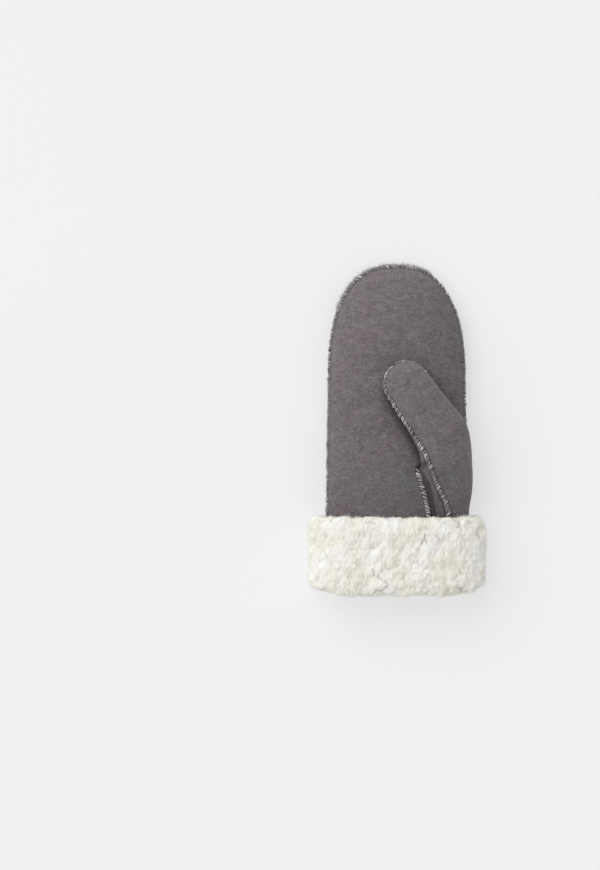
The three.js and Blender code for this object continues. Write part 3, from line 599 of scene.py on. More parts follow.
def handSheet(palm):
    height, side = (palmHeight, 1) if palm else (backHeight, -1)
    places = handPlaces(hand["rows"])
    left = sideSeam(places, -1)
    right = sideSeam(places, 1)
    if palm:
        # Below the thumb's crotch the palm ends at its cut edge.
        below = places < crotchY
        low = palmSeam(np.clip((places - mitten["start"]) / (crotchY - mitten["start"]), 0, 1))
        right = {k: np.where(below if k == "ridge" else below[:, None], low[k], right[k]) for k in low}
    middleY = np.minimum(places, mitten["length"] - mitten["edgeReach"])
    middle = np.stack([0 * places, middleY, 0 * places], 1)
    k = np.linspace(0, 1, hand["across"])[None, :, None] ** 1.5
    halves = [lerp(seam["points"][:, None], middle[:, None], k) for seam in (left, right)]
    grid = np.concatenate([halves[0], halves[1][:, -2::-1]], 1)
    x, y = grid[..., 0], grid[..., 1]

    def even(x, y):
        # The height averaged across a few millimetres, which rounds the ridge at the middle.
        width = hand["even"] * smooth(4, 34, edgeDistance(x, y))
        shares = np.array([0.1, 0.2, 0.4, 0.2, 0.1])
        return sum(w * height(x + width * k, y) for w, k in zip(shares, (-1, -0.5, 0, 0.5, 1)))

    grid[..., 2] = even(x, y)
    grid[:, 0], grid[:, -1] = left["points"], right["points"]
    normals = heightNormals(even, grid, side)
    free = smooth(2, 12, edgeDistance(x, y))
    relief = hand["slack"] * waves(x, y, 3 if palm else 4, hand["slackLength"]) * free
    # The back has the palm's creases the other way round and moved a little.
    rows = creases if palm else creases * (-1, 1, 1, 1, -1, 1) + (4, -9, 0, 0, 25, 0)
    relief = relief - hand["crease"] * creaseDepth(x, y, rows) * smooth(1, 8, edgeDistance(x, y))
    if not palm:
        relief = np.minimum(relief, 0.0) * free
    outer = grid + normals * (mitten["hide"] + relief)[..., None]
    ragged = raggedEdge(places, 0 * places, 8 + palm)
    return edgedSheet(grid, outer, (left, right), (side, side), ragged)


palmPiece = fromSheet("palm_hide", handSheet(True))
backPiece = fromSheet("back_hide", handSheet(False))
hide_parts("palm_panel")
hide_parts("back_panel")
print("palm and back:", len(palmPiece.data.polygons), len(backPiece.data.polygons), "faces")

# The thumb's two pieces: rows along the thumb, which then turn round its end.
thumbCut = dict(baseRows=104, freeRows=84, capRows=22, across=54, slack=0.3, slackLength=24,
                crease=0.5, drop=10.0, dropFrom=1.6, dropTo=0.4, lowEdge=0.6)
thumbCreases = np.array([
    [44, 118, 9, 1.8, 50, 0.35],
    [50, 108, 9, 1.6, 65, 0.35],
    [28, 120, 10, 2.0, -35, 0.30],
    [18, 142, 9, 1.6, 30, 0.25],
    [10, 170, 8, 1.4, 25, 0.25],
    [42, 84, 12, 2.2, 75, 0.35],
    [52, 80, 10, 1.8, 80, 0.30],
    [34, 100, 14, 2.4, 60, 0.25],
])


def thumbSheet(front):
    base = np.linspace(thumbStart, crotchAlong, thumbCut["baseRows"], endpoint=False)
    free = np.linspace(crotchAlong, thumbEnd, thumbCut["freeRows"], endpoint=False)
    cap = np.linspace(0, 1, thumbCut["capRows"]) ** 0.9 * 90
    along = np.concatenate([base, free, np.full(len(cap), thumbEnd)])
    turn = np.concatenate([0 * base, 0 * free, cap])
    frames = thumbFrames(along, turn)
    grid = thumbGrid(frames, front, thumbCut["across"])
    side = 1 if front else -1
    normals = gridNormals(grid, side)
    start, end = frontSeam(frames), endSeam(frames, front)
    if not front:
        # The gusset falls away beside the palm's edge into a narrow crease, wider at the wrist.
        fromCut = np.linalg.norm(grid[..., :2] - grid[:, -1:, :2], axis=-1)
        wide = smooth(0.41, 0.33, along)[:, None]
        fall = smooth(thumbCut["dropFrom"] + 5 * wide, thumbCut["dropTo"] + 3.6 * wide, fromCut)
        grid[..., 2] -= thumbCut["drop"] * (fall * smooth(0.415, 0.395, along)[:, None])
        end["points"] = grid[:, -1].copy()
        end["ridge"] = end["ridge"] * thumbCut["lowEdge"]
    u = np.linspace(0, 1, grid.shape[1])
    clear = smooth(0, 0.12, u) * smooth(1, 0.88, u) * smooth(90, 30, turn)[:, None]
    x, y = grid[..., 0], grid[..., 1]
    relief = thumbCut["slack"] * waves(x, y, 11 + front, thumbCut["slackLength"])
    relief = (relief - thumbCut["crease"] * creaseDepth(x, y, thumbCreases)) * clear
    outer = grid + normals * (mitten["hide"] + (relief if front else 0.5 * relief))[..., None]
    ragged = raggedEdge(along * mitten["length"], turn * 0.2, 15 + front)
    ends = np.where((along < crotchAlong) & (not front), -1, side)[:, None]
    return edgedSheet(grid, outer, (start, end), (side, ends), ragged)


thumbFrontPiece = fromSheet("thumb_front_hide", thumbSheet(True))
thumbUnderPiece = fromSheet("thumb_under_hide", thumbSheet(False))
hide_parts("thumb_front")
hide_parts("thumb_under")
print("thumb:", len(thumbFrontPiece.data.polygons), len(thumbUnderPiece.data.polygons), "faces")


def tubes(name, paths, radii, sides, across, attributes):
    # Many closed tubes at once. paths holds the points of each, radii its radius at each, and
    # across a direction that is never along the path.
    count, steps = paths.shape[:2]
    run = unit(np.gradient(paths, axis=1))
    first = unit(np.cross(run, across[:, None]))
    second = np.cross(run, first)
    turn = np.arange(sides) * 2 * math.pi / sides
    ring = (first[:, :, None] * np.cos(turn)[:, None] + second[:, :, None] * np.sin(turn)[:, None])
    points = paths[:, :, None] + ring * radii[..., None, None]
    ends = paths[:, [0, -1]] + run[:, [0, -1]] * radii[:, [0, -1], None] * np.array([-0.7, 0.7])[:, None]
    every = np.concatenate([points.reshape(count, -1, 3), ends], 1)
    j = np.arange(sides)
    k = (j + 1) % sides
    wall = ringFaces(steps, sides)
    low, high = steps * sides, steps * sides + 1
    foot = np.stack([k, j, 0 * j + low], -1)
    top = np.stack([(steps - 1) * sides + j, (steps - 1) * sides + k, 0 * j + high], -1)
    loose = np.concatenate([wall[:, [0, 1, 2]], wall[:, [0, 2, 3]], foot, top])
    size = steps * sides + 2
    faces = (np.arange(count)[:, None, None] * size + loose).reshape(-1, 3)
    spread = {key: np.repeat(value, size) for key, value in attributes.items()}
    return makeMesh(name, every, faces, attributes=spread)


def hairs(name, roots, lean, curl, length, radius, attributes):
    # root + lean * length * t + curl * length * t^2, thinner towards the tip
    t = np.array([0, 0.5, 1.0])[None, :, None]
    size = length[:, None, None]
    paths = roots[:, None] + size * (lean[:, None] * t + curl[:, None] * t ** 2)
    radii = radius[:, None] * np.array([1.0, 0.85, 0.3])
    across = unit(np.cross(lean, curl + (0.013, 0.031, 0.007)))
    return tubes(name, paths, radii, 3, across, attributes)


def keepUp(roots, lean, curl, length, least):
    # Curls the hairs up whose tips would come lower than least.
    low = roots[:, 2] + length * (lean[:, 2] + curl[:, 2])
    curl[:, 2] += np.where(low < least, (least - low) / length, 0)


def walked(points):
    # The length of a line up to each of its points.
    return np.concatenate([[0], np.cumsum(np.linalg.norm(np.diff(points, axis=0), axis=1))])


# The turned cuff: three loops round the wrist, at the mouth, inside and outside, joined by a
# closed outline. Its wool stands in locks, with creases between some of them.
cuff = dict(turns=720, around=126, bow=4.5, bowReach=12, lock=9.5, bend=2.2, relief=0.9, crease=1.9,
            creaseWidth=1.1, curl=0.4, curlLength=4.6, frizz=0.35, frizzLength=2.0, wave=13,
            swell=0.9, ripple=0.6, rippleLength=7, sink=1.2, ground=0.3)
cuffLoops = np.array([
    # half width, top, bottom, power
    [49.0, 32.06, 15.4, 3.0],
    [58.6, 42.46, 8.2, 3.4],
    [71.2, 53.46, -2.5, 2.7],
])
cuffOutline = np.array([
    # across: -1 the mouth's loop, 0 the inside one, 1 the outside one; along in mm
    [-1, 11.5], [-0.5, 11.5], [0, 11.5], [0, 25], [0, 40], [0, 53], [0.05, 61], [0.25, 63],
    [0.55, 63], [0.82, 60.5], [0.96, 56], [1, 50], [1, 44], [1, 38], [1, 32], [1, 26], [1, 20],
    [0.99, 14], [0.95, 8.5], [0.84, 4], [0.64, 1.2], [0.35, 0], [0, 0], [-0.4, 1.2],
    [-0.75, 4], [-0.96, 8],
])


def closedCurve(rows, count):
    # An even walk round a closed smooth curve through the rows.
    n = len(rows)
    t = np.linspace(0, n, n * 24, endpoint=False)
    k = t.astype(int)
    u = (t - k)[:, None]
    a, b, c, d = (rows[(k + s) % n] for s in (-1, 0, 1, 2))
    fine = b + 0.5 * u * (c - a + u * (2 * a - 5 * b + 4 * c - d + u * (3 * (b - c) + d - a)))
    size = fine * (12, 1)
    step = np.linalg.norm(np.roll(size, -1, 0) - size, axis=1)
    at = np.concatenate([[0], np.cumsum(step)])
    want = np.linspace(0, at[-1], count, endpoint=False)
    loop = np.concatenate([fine, fine[:1]])
    return np.stack([np.interp(want, at, loop[:, 0]), np.interp(want, at, loop[:, 1])], 1)


def loopPoints(loop, turn):
    # A superellipse: half * |cos| ^ (2 / power) across, reach * |sin| ^ (2 / power) up or down.
    half, top, bottom, power = loop
    c, s = np.cos(turn), np.sin(turn)
    middle = seamHeight(0)
    reach = np.where(s > 0, top - middle, middle - bottom)
    x = half * signedPower(c, 2 / power)
    return np.stack([x, 0 * x, middle + reach * signedPower(s, 2 / power)], 1)


def waves3(p, seed, length, count=30):
    # The same sum as waves makes, through space.
    rng = np.random.default_rng(seed)
    way = unit(rng.normal(size=(count, 3)))
    way = way * (2 * math.pi / (length * rng.uniform(0.65, 1.5, (count, 1))))
    phase = rng.uniform(0, 2 * math.pi, count)
    flat = p.reshape(-1, 3)
    total = np.zeros(len(flat))
    for w, f in zip(way, phase):
        total += np.sin(flat @ w + f)
    return (total / math.sqrt(count) / 1.6).reshape(p.shape[:-1])


def locks(p, centres):
    # The distances to the two nearest centres, and which one is nearest.
    flat = p.reshape(-1, 3)
    near = np.empty((len(flat), 2))
    first = np.empty(len(flat), int)
    for part in np.array_split(np.arange(len(flat)), max(1, len(flat) // 4000)):
        away = np.linalg.norm(flat[part, None] - centres, axis=-1)
        best = np.argpartition(away, 2, 1)[:, :2]
        size = np.take_along_axis(away, best, 1)
        order = size.argsort(1)
        near[part] = np.take_along_axis(size, order, 1)
        first[part] = np.take_along_axis(best, order, 1)[:, 0]
    return near.reshape(*p.shape[:-1], 2), first.reshape(p.shape[:-1])


def scattered(points, gap, seed):
    # Points of a grid taken in a random order, where none is nearer than gap to a taken one.
    rng = np.random.default_rng(seed)
    pool = points.reshape(-1, 3)
    pool = pool[rng.permutation(len(pool))[:9000]]
    taken = np.empty((0, 3))
    while len(pool):
        taken = np.concatenate([taken, pool[:1]])
        pool = pool[np.linalg.norm(pool - pool[0], axis=1) > gap]
    return taken


def cuffSurface():
    # Even steps round the outside loop, with the outline at each, bowed back at the fold.
    fine = np.linspace(0, 2 * math.pi, 6000)
    run = walked(loopPoints(cuffLoops[2], fine))
    even = np.interp(np.linspace(0, run[-1], cuff["turns"], endpoint=False), run, fine)
    mouth, inside, outside = (loopPoints(loop, even)[:, None] for loop in cuffLoops)
    outline = closedCurve(cuffOutline, cuff["around"])
    across, along = outline[None, :, :1], outline[None, :, 1:]
    grid = np.where(across < 0, lerp(inside, mouth, -across), lerp(inside, outside, across))
    bow = cuff["bow"] * np.cos(even)[:, None] ** 4
    near = along[..., 0] < cuff["bowReach"]
    y = along[..., 0] + np.where(near, bow * (1 - along[..., 0] / cuff["bowReach"]), 0)
    grid = np.concatenate([grid[..., :1], y[..., None], grid[..., 2:]], -1)
    before = np.roll(grid, 1, 0), np.roll(grid, 1, 1)
    after = np.roll(grid, -1, 0), np.roll(grid, -1, 1)
    normals = unit(np.cross(after[0] - before[0], after[1] - before[1]))
    outward = np.sign((normals * (outside - inside))[:, outline[:, 0].argmax()].sum())
    return grid, normals * outward, outline


cuffGrid, cuffNormals, outline = cuffSurface()
lockCentres = scattered(cuffGrid, cuff["lock"] * 0.8, 21)
rng = np.random.default_rng(22)
lockSize = rng.uniform(0.2, 1.0, len(lockCentres))
lockLean = unit(rng.normal(size=(len(lockCentres), 3)))


def woolRelief(p, centres, sizes):
    # Rounded locks, deeper between some of them, with curls and frizz on top.
    bent = p + cuff["bend"] * np.stack([waves3(p, s, cuff["wave"]) for s in (31, 32, 33)], -1)
    near, first = locks(bent, centres)
    dome = 1 - (near[..., 0] / cuff["lock"]) ** 2
    open = smooth(-0.1, 0.7, waves3(p, 36, cuff["wave"])) * sizes[first]
    seamBetween = np.exp(-((near[..., 1] - near[..., 0]) / cuff["creaseWidth"]) ** 2) * open
    curl = 1 - np.abs(waves3(p, 34, cuff["curlLength"])) * 2
    swellings = cuff["swell"] * waves3(p, 37, cuff["wave"])
    swellings = swellings + cuff["ripple"] * waves3(p, 38, cuff["rippleLength"])
    lobes = cuff["relief"] * (1 + 1.3 * smooth(28, 6, p[..., 1]))
    relief = lobes * (dome - 0.75) - cuff["crease"] * seamBetween + cuff["curl"] * curl
    relief = relief + cuff["frizz"] * waves3(p, 35, cuff["frizzLength"]) + swellings
    return relief, first, seamBetween


relief, whose, between = woolRelief(cuffGrid, lockCentres, lockSize)
outerShare = smooth(-0.2, 0.5, outline[:, 0])[None]
push = (relief * lerp(0.5, 1, outerShare) - cuff["sink"]) * lerp(0.6, 1, outerShare)
wall = cuffGrid + cuffNormals * push[..., None]
wall[..., 2] = np.maximum(wall[..., 2], cuff["ground"])
ring = wall.shape[1]
i = np.arange(wall.shape[0])[:, None] * ring
j = np.arange(ring)[None]
k = (j + 1) % ring
nextRow = (i + ring) % wall[..., 0].size
cuffFaces = np.stack([i + j, nextRow + j, nextRow + k, i + k], -1).reshape(-1, 4)
# The pile's depth, lower in the hollows and the creases between locks, where the fleece colour paints
# them darker: painted shade.
depth = np.clip(0.66 + 0.08 * relief - 0.6 * between, 0, 1)
cuffPiece = makeMesh("cuff_wool", wall, outwards(wall, cuffFaces), attributes={"depth": depth})
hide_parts("cuff")
print("cuff:", len(cuffFaces), "faces,", len(lockCentres), "locks")


# The cuff's standing hairs: those of one lock lean together, and each goes its own way a little.
standing = dict(pieces=4, each=9000, length=1.65, width=0.13, deep=1.2, jitter=0.3, leanTogether=0.42,
                leanAlone=0.22, curlTogether=0.55, curlAlone=0.35)


def cuffHairs(count, seed):
    rng = np.random.default_rng(seed)
    flat, normals = wall.reshape(-1, 3), cuffNormals.reshape(-1, 3)
    seen = np.maximum(smooth(0.05, 0.3, outline[:, 0]), smooth(14, 10, outline[:, 1]))
    weight = np.broadcast_to(seen, wall.shape[:2]).ravel() * (1 - between.ravel())
    weight = weight * np.where(flat[:, 2] < 1.5, 0.15, 1)
    pick = rng.choice(len(flat), count, p=weight / weight.sum())
    together, normals = lockLean[whose.ravel()[pick]], normals[pick]
    lean = normals + standing["leanTogether"] * together
    lean = unit(lean + standing["leanAlone"] * rng.normal(size=(count, 3)))
    curl = standing["curlTogether"] * together + standing["curlAlone"] * rng.normal(size=(count, 3))
    length = standing["length"] * rng.uniform(0.55, 1.15, count)
    length = length * (1 + 0.2 * smooth(56, 64, flat[pick][:, 1]))
    roots = flat[pick] - normals * standing["deep"] + rng.normal(size=(count, 3)) * standing["jitter"]
    keepUp(roots, lean, curl, length, cuff["ground"])
    roots[:, 2] = np.maximum(roots[:, 2], cuff["ground"])
    radius = standing["width"] * rng.uniform(0.7, 1.4, count)
    return roots, lean, curl, length, radius, {"depth": rng.uniform(0.75, 1, count)}


hairPieces = [hairs(f"cuff_hairs_{part + 1}", *cuffHairs(standing["each"], 40 + part))
              for part in range(standing["pieces"])]
print("cuff hairs:", len(hairPieces), "pieces of", len(hairPieces[0].data.polygons), "faces")

# The lining seen in the mouth: a pocket of pile, closed at the fingertips.
lining = dict(turns=260, rows=150, pile=6.2, gap=0.9, lock=7, lip=1.2, sag=13)


def pocketLoops(inset, start, rows):
    # Superellipse loops between the back's and the palm's flesh sides, moved in by inset.
    turn = np.linspace(0, 2 * math.pi, lining["turns"], endpoint=False)[None]
    t = np.linspace(0, 1, rows)[:, None]
    tip = mitten["length"] - inset
    y = start + (tip - start) * np.sin(t * math.pi / 2) ** 1.1
    stretched = np.minimum(y * mitten["length"] / tip, mitten["length"])
    half = np.maximum(seamHalfWidth(stretched) - inset, 0.02)
    c, s = np.cos(turn), np.sin(turn)
    x = half * signedPower(c, 0.75)
    inner = x * (1 - inset * 0.002)
    top = palmHeight(inner, y) - inset
    bottom = backHeight(inner, y) + inset
    middle = seamHeight(y)
    share = np.abs(s) ** 0.75
    z = np.where(s > 0, middle + np.maximum(top - middle, 0.2) * share,
                 middle - np.maximum(middle - bottom, 0.2) * share)
    return np.stack([x, y + 0 * x, z], -1)


def underThumb(points):
    # The pile lies lower where the thumb opens out of the hand.
    y = points[..., 1]
    above = np.maximum(points[..., 2] - seamHeight(y), 0)
    beside = smooth(4.5, -0.5, pastEdge(points)) * smooth(140, 110, y) * smooth(44, 60, y)
    points[..., 2] -= np.minimum(lining["sag"] * smooth(0, 6, above), 1.1 * above) * beside
    return points


inside = underThumb(pocketLoops(lining["pile"], mitten["start"] + 0.5, lining["rows"]))
outside = underThumb(pocketLoops(lining["gap"], mitten["start"] + 0.5, lining["rows"]))
inward = unit(inside - outside)
pocketLocks = scattered(inside, lining["lock"] * 0.8, 51)
near, first = locks(inside, pocketLocks)
plush = 1.5 * (1 - (near[..., 0] / lining["lock"]) ** 2) + 0.5 * waves3(inside, 52, 4) - 0.8
plush = plush * smooth(0, 12, mitten["length"] - lining["pile"] - inside[..., 1])
inside = inside + inward * plush[..., None]
mouthLip = lerp(outside[:1], inside[:1], 0.5) - (0, lining["lip"], 0)
pocket = np.concatenate([outside[::-1], mouthLip, inside])
lastRow = (len(pocket) - 1) * lining["turns"]
cap = ringCap(lining["turns"])
faces = np.concatenate([ringFaces(len(pocket), lining["turns"]), cap, cap[:, ::-1] + lastRow])
shade = np.concatenate([0 * plush, 0 * plush[:1] + 0.5, np.clip(0.45 + 0.25 * plush, 0, 1)])
pocketPiece = makeMesh("lining_wool", pocket, outwards(pocket, faces), attributes={"depth": shade})
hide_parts("fleece_lining")
print("lining:", len(faces), "faces")

# Overcast stitches: each one starts beside one raw edge, passes over both and ends lower down
# on the other side, a pitch further along.
thread = dict(pitch=1.9, radius=0.42, slant=1.9, sides=5, jitter=0.45, least=0.5)


def seamAt(seam, run, at):
    # A seam's points and ways, read at lengths along it.
    def read(values):
        return np.stack([np.interp(at, run, values[:, k]) for k in range(values.shape[1])], 1)

    ahead = unit(read(np.gradient(seam["points"], axis=0)))
    stand, over = unit(read(seam["stand"])), unit(read(seam["over"]))
    return read(seam["points"]), stand, over, np.interp(at, run, seam["ridge"]), ahead


def stitches(name, seam, seed):
    rng = np.random.default_rng(seed)
    run = walked(seam["points"])
    at = np.arange(1, run[-1] - 1, thread["pitch"])
    at = at + rng.uniform(-thread["jitter"], thread["jitter"], len(at))
    p, stand, over, ridge, ahead = seamAt(seam, run, at)
    rows = np.array([
        # over, stand, ahead as shares of the reach, the ridge and the slant
        [-1.25, 0.10, -0.55],
        [-1.05, 0.60, -0.36],
        [-0.62, 1.12, -0.15],
        [0.00, 1.22, 0.05],
        [0.62, 1.12, 0.20],
        [1.05, 0.60, 0.36],
        [1.25, 0.10, 0.50],
    ])
    reach = mitten["hide"] + seamGap / 2
    slant = thread["slant"] * thread["pitch"] * rng.uniform(0.7, 1.3, len(at))
    tall = np.maximum(ridge, thread["least"]) * rng.uniform(0.85, 1.2, len(at))
    paths = (p[:, None] + over[:, None] * (rows[:, 0] * reach)[None, :, None]
             + stand[:, None] * (rows[:, 1] * tall[:, None])[..., None]
             + ahead[:, None] * (rows[:, 2] * slant[:, None])[..., None])
    radii = np.broadcast_to(thread["radius"] * np.array([0.8, 1, 1, 1.05, 1, 1, 0.8]), paths.shape[:2])
    radii = radii * rng.uniform(0.85, 1.15, (len(at), 1))
    tone = {"tone": rng.uniform(0, 1, len(at))}
    return tubes(name, paths, radii, thread["sides"], ahead + 0.2 * stand, tone)


def joined(*seams):
    return {k: np.concatenate([s[k] for s in seams]) for k in seams[0]}


sidePlaces = handPlaces(240)
sidePlaces = sidePlaces[sidePlaces > 40]
leftSeam = sideSeam(sidePlaces, -1)
rightSeam = sideSeam(sidePlaces[:-1][::-1], 1)
wholeSide = joined(leftSeam, rightSeam)


def framesRoundEnd(start, rows, lastTurn):
    # Frames up the thumb and then round its end.
    along = np.concatenate([np.linspace(start, thumbEnd, rows), np.full(12, thumbEnd)])
    return thumbFrames(along, np.concatenate([np.zeros(rows), np.linspace(5, lastTurn, 12)]))


thumbSeam = frontSeam(framesRoundEnd(0.17, 160, 90))
underSeam = endSeam(framesRoundEnd(crotchAlong + 0.02, 60, 85), False)
palmCut = palmSeam(np.linspace(0.34, 0.8, 80))
threadPieces = [
    stitches("side_seam_thread", wholeSide, 61),
    stitches("thumb_seam_thread", thumbSeam, 62),
    stitches("thumb_under_thread", underSeam, 63),
    stitches("palm_seam_thread", palmCut, 64),
]
print("stitches:", [len(piece.data.polygons) // 70 for piece in threadPieces])


# Wool that works out between the stitches, and a fringe of it round the fingertips.
fuzz = dict(perMm=2.2, length=0.95, radius=0.15, thin=1.0, spread=0.7, stick=1.0, palest=1.0)
fringe = dict(perMm=34, length=2.2, radius=0.15, thin=0.65, spread=1.0, stick=1.7, palest=0.72,
              leftFrom=226, rightFrom=254)


def seamFuzz(name, seam, seed, wool):
    rng = np.random.default_rng(seed)
    run = walked(seam["points"])
    count = int(run[-1] * wool["perMm"])
    p, stand, over, ridge = seamAt(seam, run, rng.uniform(0, run[-1], count))[:4]
    aside = rng.normal(size=(count, 1)) * wool["spread"]
    roots = p + stand * ridge[:, None] * rng.uniform(0.55, 1.0, (count, 1)) + over * aside
    lean = stand * wool["stick"] + over * rng.normal(size=(count, 1)) * 0.7
    lean = unit(lean + rng.normal(size=(count, 3)) * 0.45)
    curl = rng.normal(size=(count, 3)) * 0.5
    size = wool["length"] * rng.uniform(0.4, 1.2, count)
    radius = wool["radius"] * rng.uniform(0.7, 1.5, count) * wool["thin"]
    keepUp(roots, lean, curl, size, 0.15)
    depth = {"depth": rng.uniform(0.5, wool["palest"], count)}
    return hairs(name, roots, lean, curl, size, radius, depth)


leftTip = sidePlaces > fringe["leftFrom"]
rightTip = (sidePlaces > fringe["rightFrom"])[:-1][::-1]
tipSeam = joined({k: v[leftTip] for k, v in leftSeam.items()},
                 {k: v[rightTip] for k, v in rightSeam.items()})
tipSeam["points"] = tipSeam["points"] - tipSeam["over"] * 0.8
fuzzPieces = [
    seamFuzz("side_seam_fuzz", wholeSide, 71, fuzz),
    seamFuzz("thumb_seam_fuzz", thumbSeam, 72, fuzz),
    seamFuzz("palm_seam_fuzz", palmCut, 73, fuzz),
    seamFuzz("thumb_under_fuzz", underSeam, 74, fuzz),
    seamFuzz("fingertip_fringe", tipSeam, 75, fringe),
]
print("fuzz:", [len(piece.data.polygons) for piece in fuzzPieces], "faces")


# Materials
def rgb(hexColour):
    # sRGB hex to linear
    c = np.array([int(hexColour[i:i + 2], 16) / 255 for i in (1, 3, 5)])
    c = np.where(c <= 0.04045, c / 12.92, ((c + 0.055) / 1.055) ** 2.4)
    return (*c.tolist(), 1.0)


def node(tree, kind, settings=None, **links):
    # One node with its settings, and its inputs by name as values or as other sockets.
    made = tree.nodes.new(kind)
    for key, value in (settings or {}).items():
        setattr(made, key, value)
    for key, value in links.items():
        numbered = key[0] == "i" and key[1:].isdigit()
        socket = made.inputs[int(key[1:]) if numbered else key.replace("_", " ")]
        if isinstance(value, bpy.types.NodeSocket):
            tree.links.new(value, socket)
        else:
            socket.default_value = value
    return made


def ramp(tree, fac, stops):
    made = node(tree, "ShaderNodeValToRGB", i0=fac)
    points = made.color_ramp.elements
    while len(points) < len(stops):
        points.new(0.5)
    for point, (place, colour) in zip(points, stops):
        point.position = place
        point.color = rgb(colour) if isinstance(colour, str) else (colour, colour, colour, 1)
    return made.outputs[0]


def surface(name, colour, roughness, normal=None, **constants):
    material = bpy.data.materials.new(name)
    material.use_nodes = True
    tree = material.node_tree
    shader = tree.nodes["Principled BSDF"]
    for key, value in constants.items():
        shader.inputs[key.replace("_", " ")].default_value = value
    tree.links.new(colour(tree), shader.inputs["Base Color"])
    shader.inputs["Roughness"].default_value = roughness
    if normal:
        tree.links.new(normal(tree), shader.inputs["Normal"])
    return material


def noise(tree, size, detail=3, rough=0.6, warp=0.0, stretch=None):
    # size is the pattern's own size in millimetres, stretch its shares of that along X, Y, Z
    place = node(tree, "ShaderNodeTexCoord").outputs["Object"]
    if stretch:
        place = node(tree, "ShaderNodeMapping", Vector=place, Scale=stretch).outputs[0]
    return node(tree, "ShaderNodeTexNoise", Vector=place, Scale=1000 / size, Detail=detail,
                Roughness=rough, Distortion=warp).outputs["Fac"]


def mix(tree, fac, a, b, kind="MIX"):
    made = node(tree, "ShaderNodeMix", dict(data_type="RGBA", blend_type=kind), i0=fac, i6=a, i7=b)
    return made.outputs[2]


def shaded(tree, body, fac, stops):
    # A colour made darker or lighter by the grey shares of a ramp.
    return mix(tree, 1.0, body, ramp(tree, fac, stops), "MULTIPLY")


def own(tree, name):
    return node(tree, "ShaderNodeAttribute", dict(attribute_name=name)).outputs["Fac"]


def graded(attribute, *stops):
    # A colour that follows one of a piece's own attributes.
    return lambda tree: ramp(tree, own(tree, attribute), stops)


def bump(tree, height, distance, strength=1.0, normal=None):
    links = dict(Height=height, Distance=distance / 1000, Strength=strength)
    if normal:
        links["Normal"] = normal
    return node(tree, "ShaderNodeBump", **links).outputs["Normal"]


def grained(distance, strength, *pattern):
    # Bumps of a noise pattern, distance millimetres high.
    return lambda tree: bump(tree, noise(tree, *pattern), distance, strength)


# Sheepskin suede, brushed: the nap scatters light at every angle, so it is dull and even, and
# it takes the dye in clouds of warmer and cooler grey.
suede = dict(base="#726b6e", warm="#746a6c", cool="#6f6c6e", seam="#2b2729", dust="#b3adab",
             cloud=24, mottle=6, streak=2.6, speck=1.5, wrinkle=7, nap=1.1)


def suedeColour(tree):
    clouds = noise(tree, suede["cloud"], 3, 0.55, 0.6)
    body = ramp(tree, clouds, [(0.34, suede["warm"]), (0.5, suede["base"]), (0.66, suede["cool"])])
    mottle = noise(tree, suede["mottle"], 5, 0.7, 0.3)
    body = shaded(tree, body, mottle, [(0.3, 0.78), (0.5, 0.99), (0.72, 1.2)])
    streaks = noise(tree, suede["streak"], 4, 0.7, 0.3, (0.4, 1.2, 1))
    body = shaded(tree, body, streaks, [(0.3, 0.8), (0.7, 1.16)])
    grain = noise(tree, suede["nap"], 3, 0.75)
    body = shaded(tree, body, grain, [(0.28, 0.5), (0.5, 1.0), (0.74, 1.52)])
    specks = ramp(tree, noise(tree, suede["speck"], 2, 0.6), [(0.68, 0.0), (0.74, 0.8)])
    body = mix(tree, specks, body, rgb(suede["dust"]))
    # Painted shade from the hide's attribute: toward the wrist and the thumb's side, beside the thumb
    # and in the gusset's crease.
    body = shaded(tree, body, own(tree, "paintedShade"), [(0.0, 1.0), (0.5, 0.75), (1.0, 0.3)])
    # Painted shade along the seams and on the raw edges.
    seamShade = ramp(tree, own(tree, "edge"), [(0.0, 0.0), (1.0, 0.88)])
    return mix(tree, seamShade, body, rgb(suede["seam"]))


def suedeNap(tree):
    wrinkles = noise(tree, suede["wrinkle"], 3, 0.55, 0.8, (0.45, 1.3, 1))
    rough = bump(tree, wrinkles, 0.9, 0.55)
    rough = bump(tree, noise(tree, suede["streak"], 3, 0.6), 0.3, 0.5, rough)
    return bump(tree, noise(tree, suede["nap"], 3, 0.7), 0.22, 0.8, rough)


brushedSuede = surface("Sheepskin suede, brushed", suedeColour, 0.93, suedeNap,
                       Sheen_Weight=0.18, Sheen_Roughness=0.6, Specular_IOR_Level=0.25)

# Clipped fleece: fibres too fine to show one by one scatter light softly, creamier down in
# the pile than at its tips, and darker in the hollows and creases between locks: painted shade.
fleece = dict(deep="#cbc6b4", mid="#efede6", tip="#f6f5f1", stain="#e9e5d5", cloud=26)


def fleeceColour(tree):
    pile = graded("depth", (0.05, fleece["deep"]), (0.4, fleece["mid"]), (0.9, fleece["tip"]))(tree)
    tone = ramp(tree, noise(tree, fleece["cloud"], 3, 0.6, 0.4), [(0.42, 0.0), (0.6, 0.75)])
    return mix(tree, tone, pile, rgb(fleece["stain"]))


fleeceGrain = grained(0.4, 0.6, 1.6, 4, 0.7, 0.4)
clippedFleece = surface("Sheep's fleece, clipped", fleeceColour, 0.95, fleeceGrain,
                        Sheen_Weight=0.3, Sheen_Roughness=0.6, Specular_IOR_Level=0.2,
                        Subsurface_Weight=0.45, Subsurface_Radius=(1, 1, 1), Subsurface_Scale=0.003)

# Waxed linen thread, dyed grey with the hide: a twisted yarn with a low sheen.
yarn = graded("tone", (0.0, "#8b858a"), (0.5, "#b0abad"), (1.0, "#e6e2e0"))
linenThread = surface("Linen thread, waxed and twisted", yarn, 0.75, grained(0.08, 0.7, 0.5, 2, 0.5),
                      Sheen_Weight=0.1, Specular_IOR_Level=0.35)

# Wool that has worked out through a seam: short, and grey with the hide's dust.
dusty = graded("depth", (0.5, "#7d7775"), (0.72, "#b5afaa"), (1.0, "#f0ede6"))
looseWool = surface("Sheep's wool, loose at a seam", dusty, 0.95, None, Sheen_Weight=0.2)

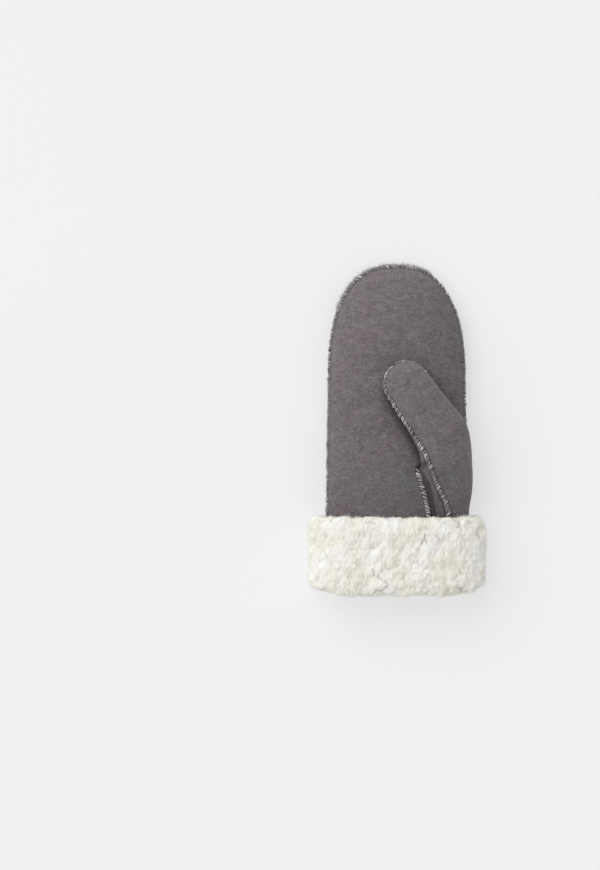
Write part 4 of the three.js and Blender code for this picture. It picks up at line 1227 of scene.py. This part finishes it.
for piece in (palmPiece, backPiece, thumbFrontPiece, thumbUnderPiece):
    piece.data.materials.append(brushedSuede)
for piece in (cuffPiece, pocketPiece, *hairPieces, *fuzzPieces):
    piece.data.materials.append(looseWool if piece in fuzzPieces else clippedFleece)
for piece in threadPieces:
    piece.data.materials.append(linenThread)
everyPiece = [palmPiece, backPiece, thumbFrontPiece, thumbUnderPiece, cuffPiece, pocketPiece,
              *hairPieces, *fuzzPieces, *threadPieces]
for piece in everyPiece:
    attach(piece, "root")
# The solids get their materials too.
for name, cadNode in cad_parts.items():
    stand = cadNode if isinstance(cadNode, bpy.types.Object) else bpy.data.objects.get(name)
    if stand and stand.type == "MESH":
        woolly = name in ("cuff", "fleece_lining")
        stand.data.materials.clear()
        stand.data.materials.append(clippedFleece if woolly else brushedSuede)
print("materials on", len(everyPiece), "pieces")

# Camera straight above the middle of the picture, a pale floor, and soft light from the
# upper left.
studio = dict(pixel=(300, 435), fold=(397, 594), scale=0.8, distance=1.48, level=0.02,
              sensor=36, width=600, board="#a2a2a2", boardPale="#a4a4a4", reach=3000.0, glow=0.52,
              key=1.6, keyAngle=70, keyPlace=(-1.0, 0.95, 1.35), fill=0.6)
centreX = ((studio["pixel"][0] - studio["fold"][0]) * studio["scale"] + shiftX) / 1000
centreY = ((studio["fold"][1] - studio["pixel"][1]) * studio["scale"] + shiftY) / 1000
lens = bpy.data.cameras.new("camera")
lens.sensor_fit = "HORIZONTAL"
lens.sensor_width = studio["sensor"]
lens.lens = studio["sensor"] * studio["distance"] / (studio["width"] * studio["scale"] / 1000)
lens.clip_start, lens.clip_end = 0.05, 20
camera = placed("camera", lens, (centreX, centreY, studio["distance"] + studio["level"]))
bpy.context.scene.camera = camera

corners = np.array([(-1, -1, 0), (1, -1, 0), (1, 1, 0), (-1, 1, 0)]) * studio["reach"]
floor = makeMesh("floor", corners, [(0, 1, 2, 3)], False)


def boardColour(tree):
    stops = [(0.3, studio["board"]), (0.7, studio["boardPale"])]
    return ramp(tree, noise(tree, 400, 2, 0.5), stops)


# An opal light table glows a little, which thins the shadows.
floor.data.materials.append(surface("Opal acrylic, lit from below", boardColour, 0.9, None,
                                    Emission_Color=(1, 1, 1, 1), Emission_Strength=studio["glow"]))

key = bpy.data.lights.new("key", "SUN")
key.angle, key.energy = math.radians(studio["keyAngle"]), studio["key"]
keyLamp = placed("key", key, studio["keyPlace"])
keyLamp.rotation_euler = (-keyLamp.location).to_track_quat("-Z", "Y").to_euler()
world = bpy.data.worlds.new("studio")
world.use_nodes = True
backdrop = world.node_tree.nodes["Background"].inputs
backdrop["Color"].default_value = (1, 1, 1, 1)
backdrop["Strength"].default_value = studio["fill"]
bpy.context.scene.world = world
bpy.context.scene.view_settings.view_transform = "Standard"
print("studio ready")
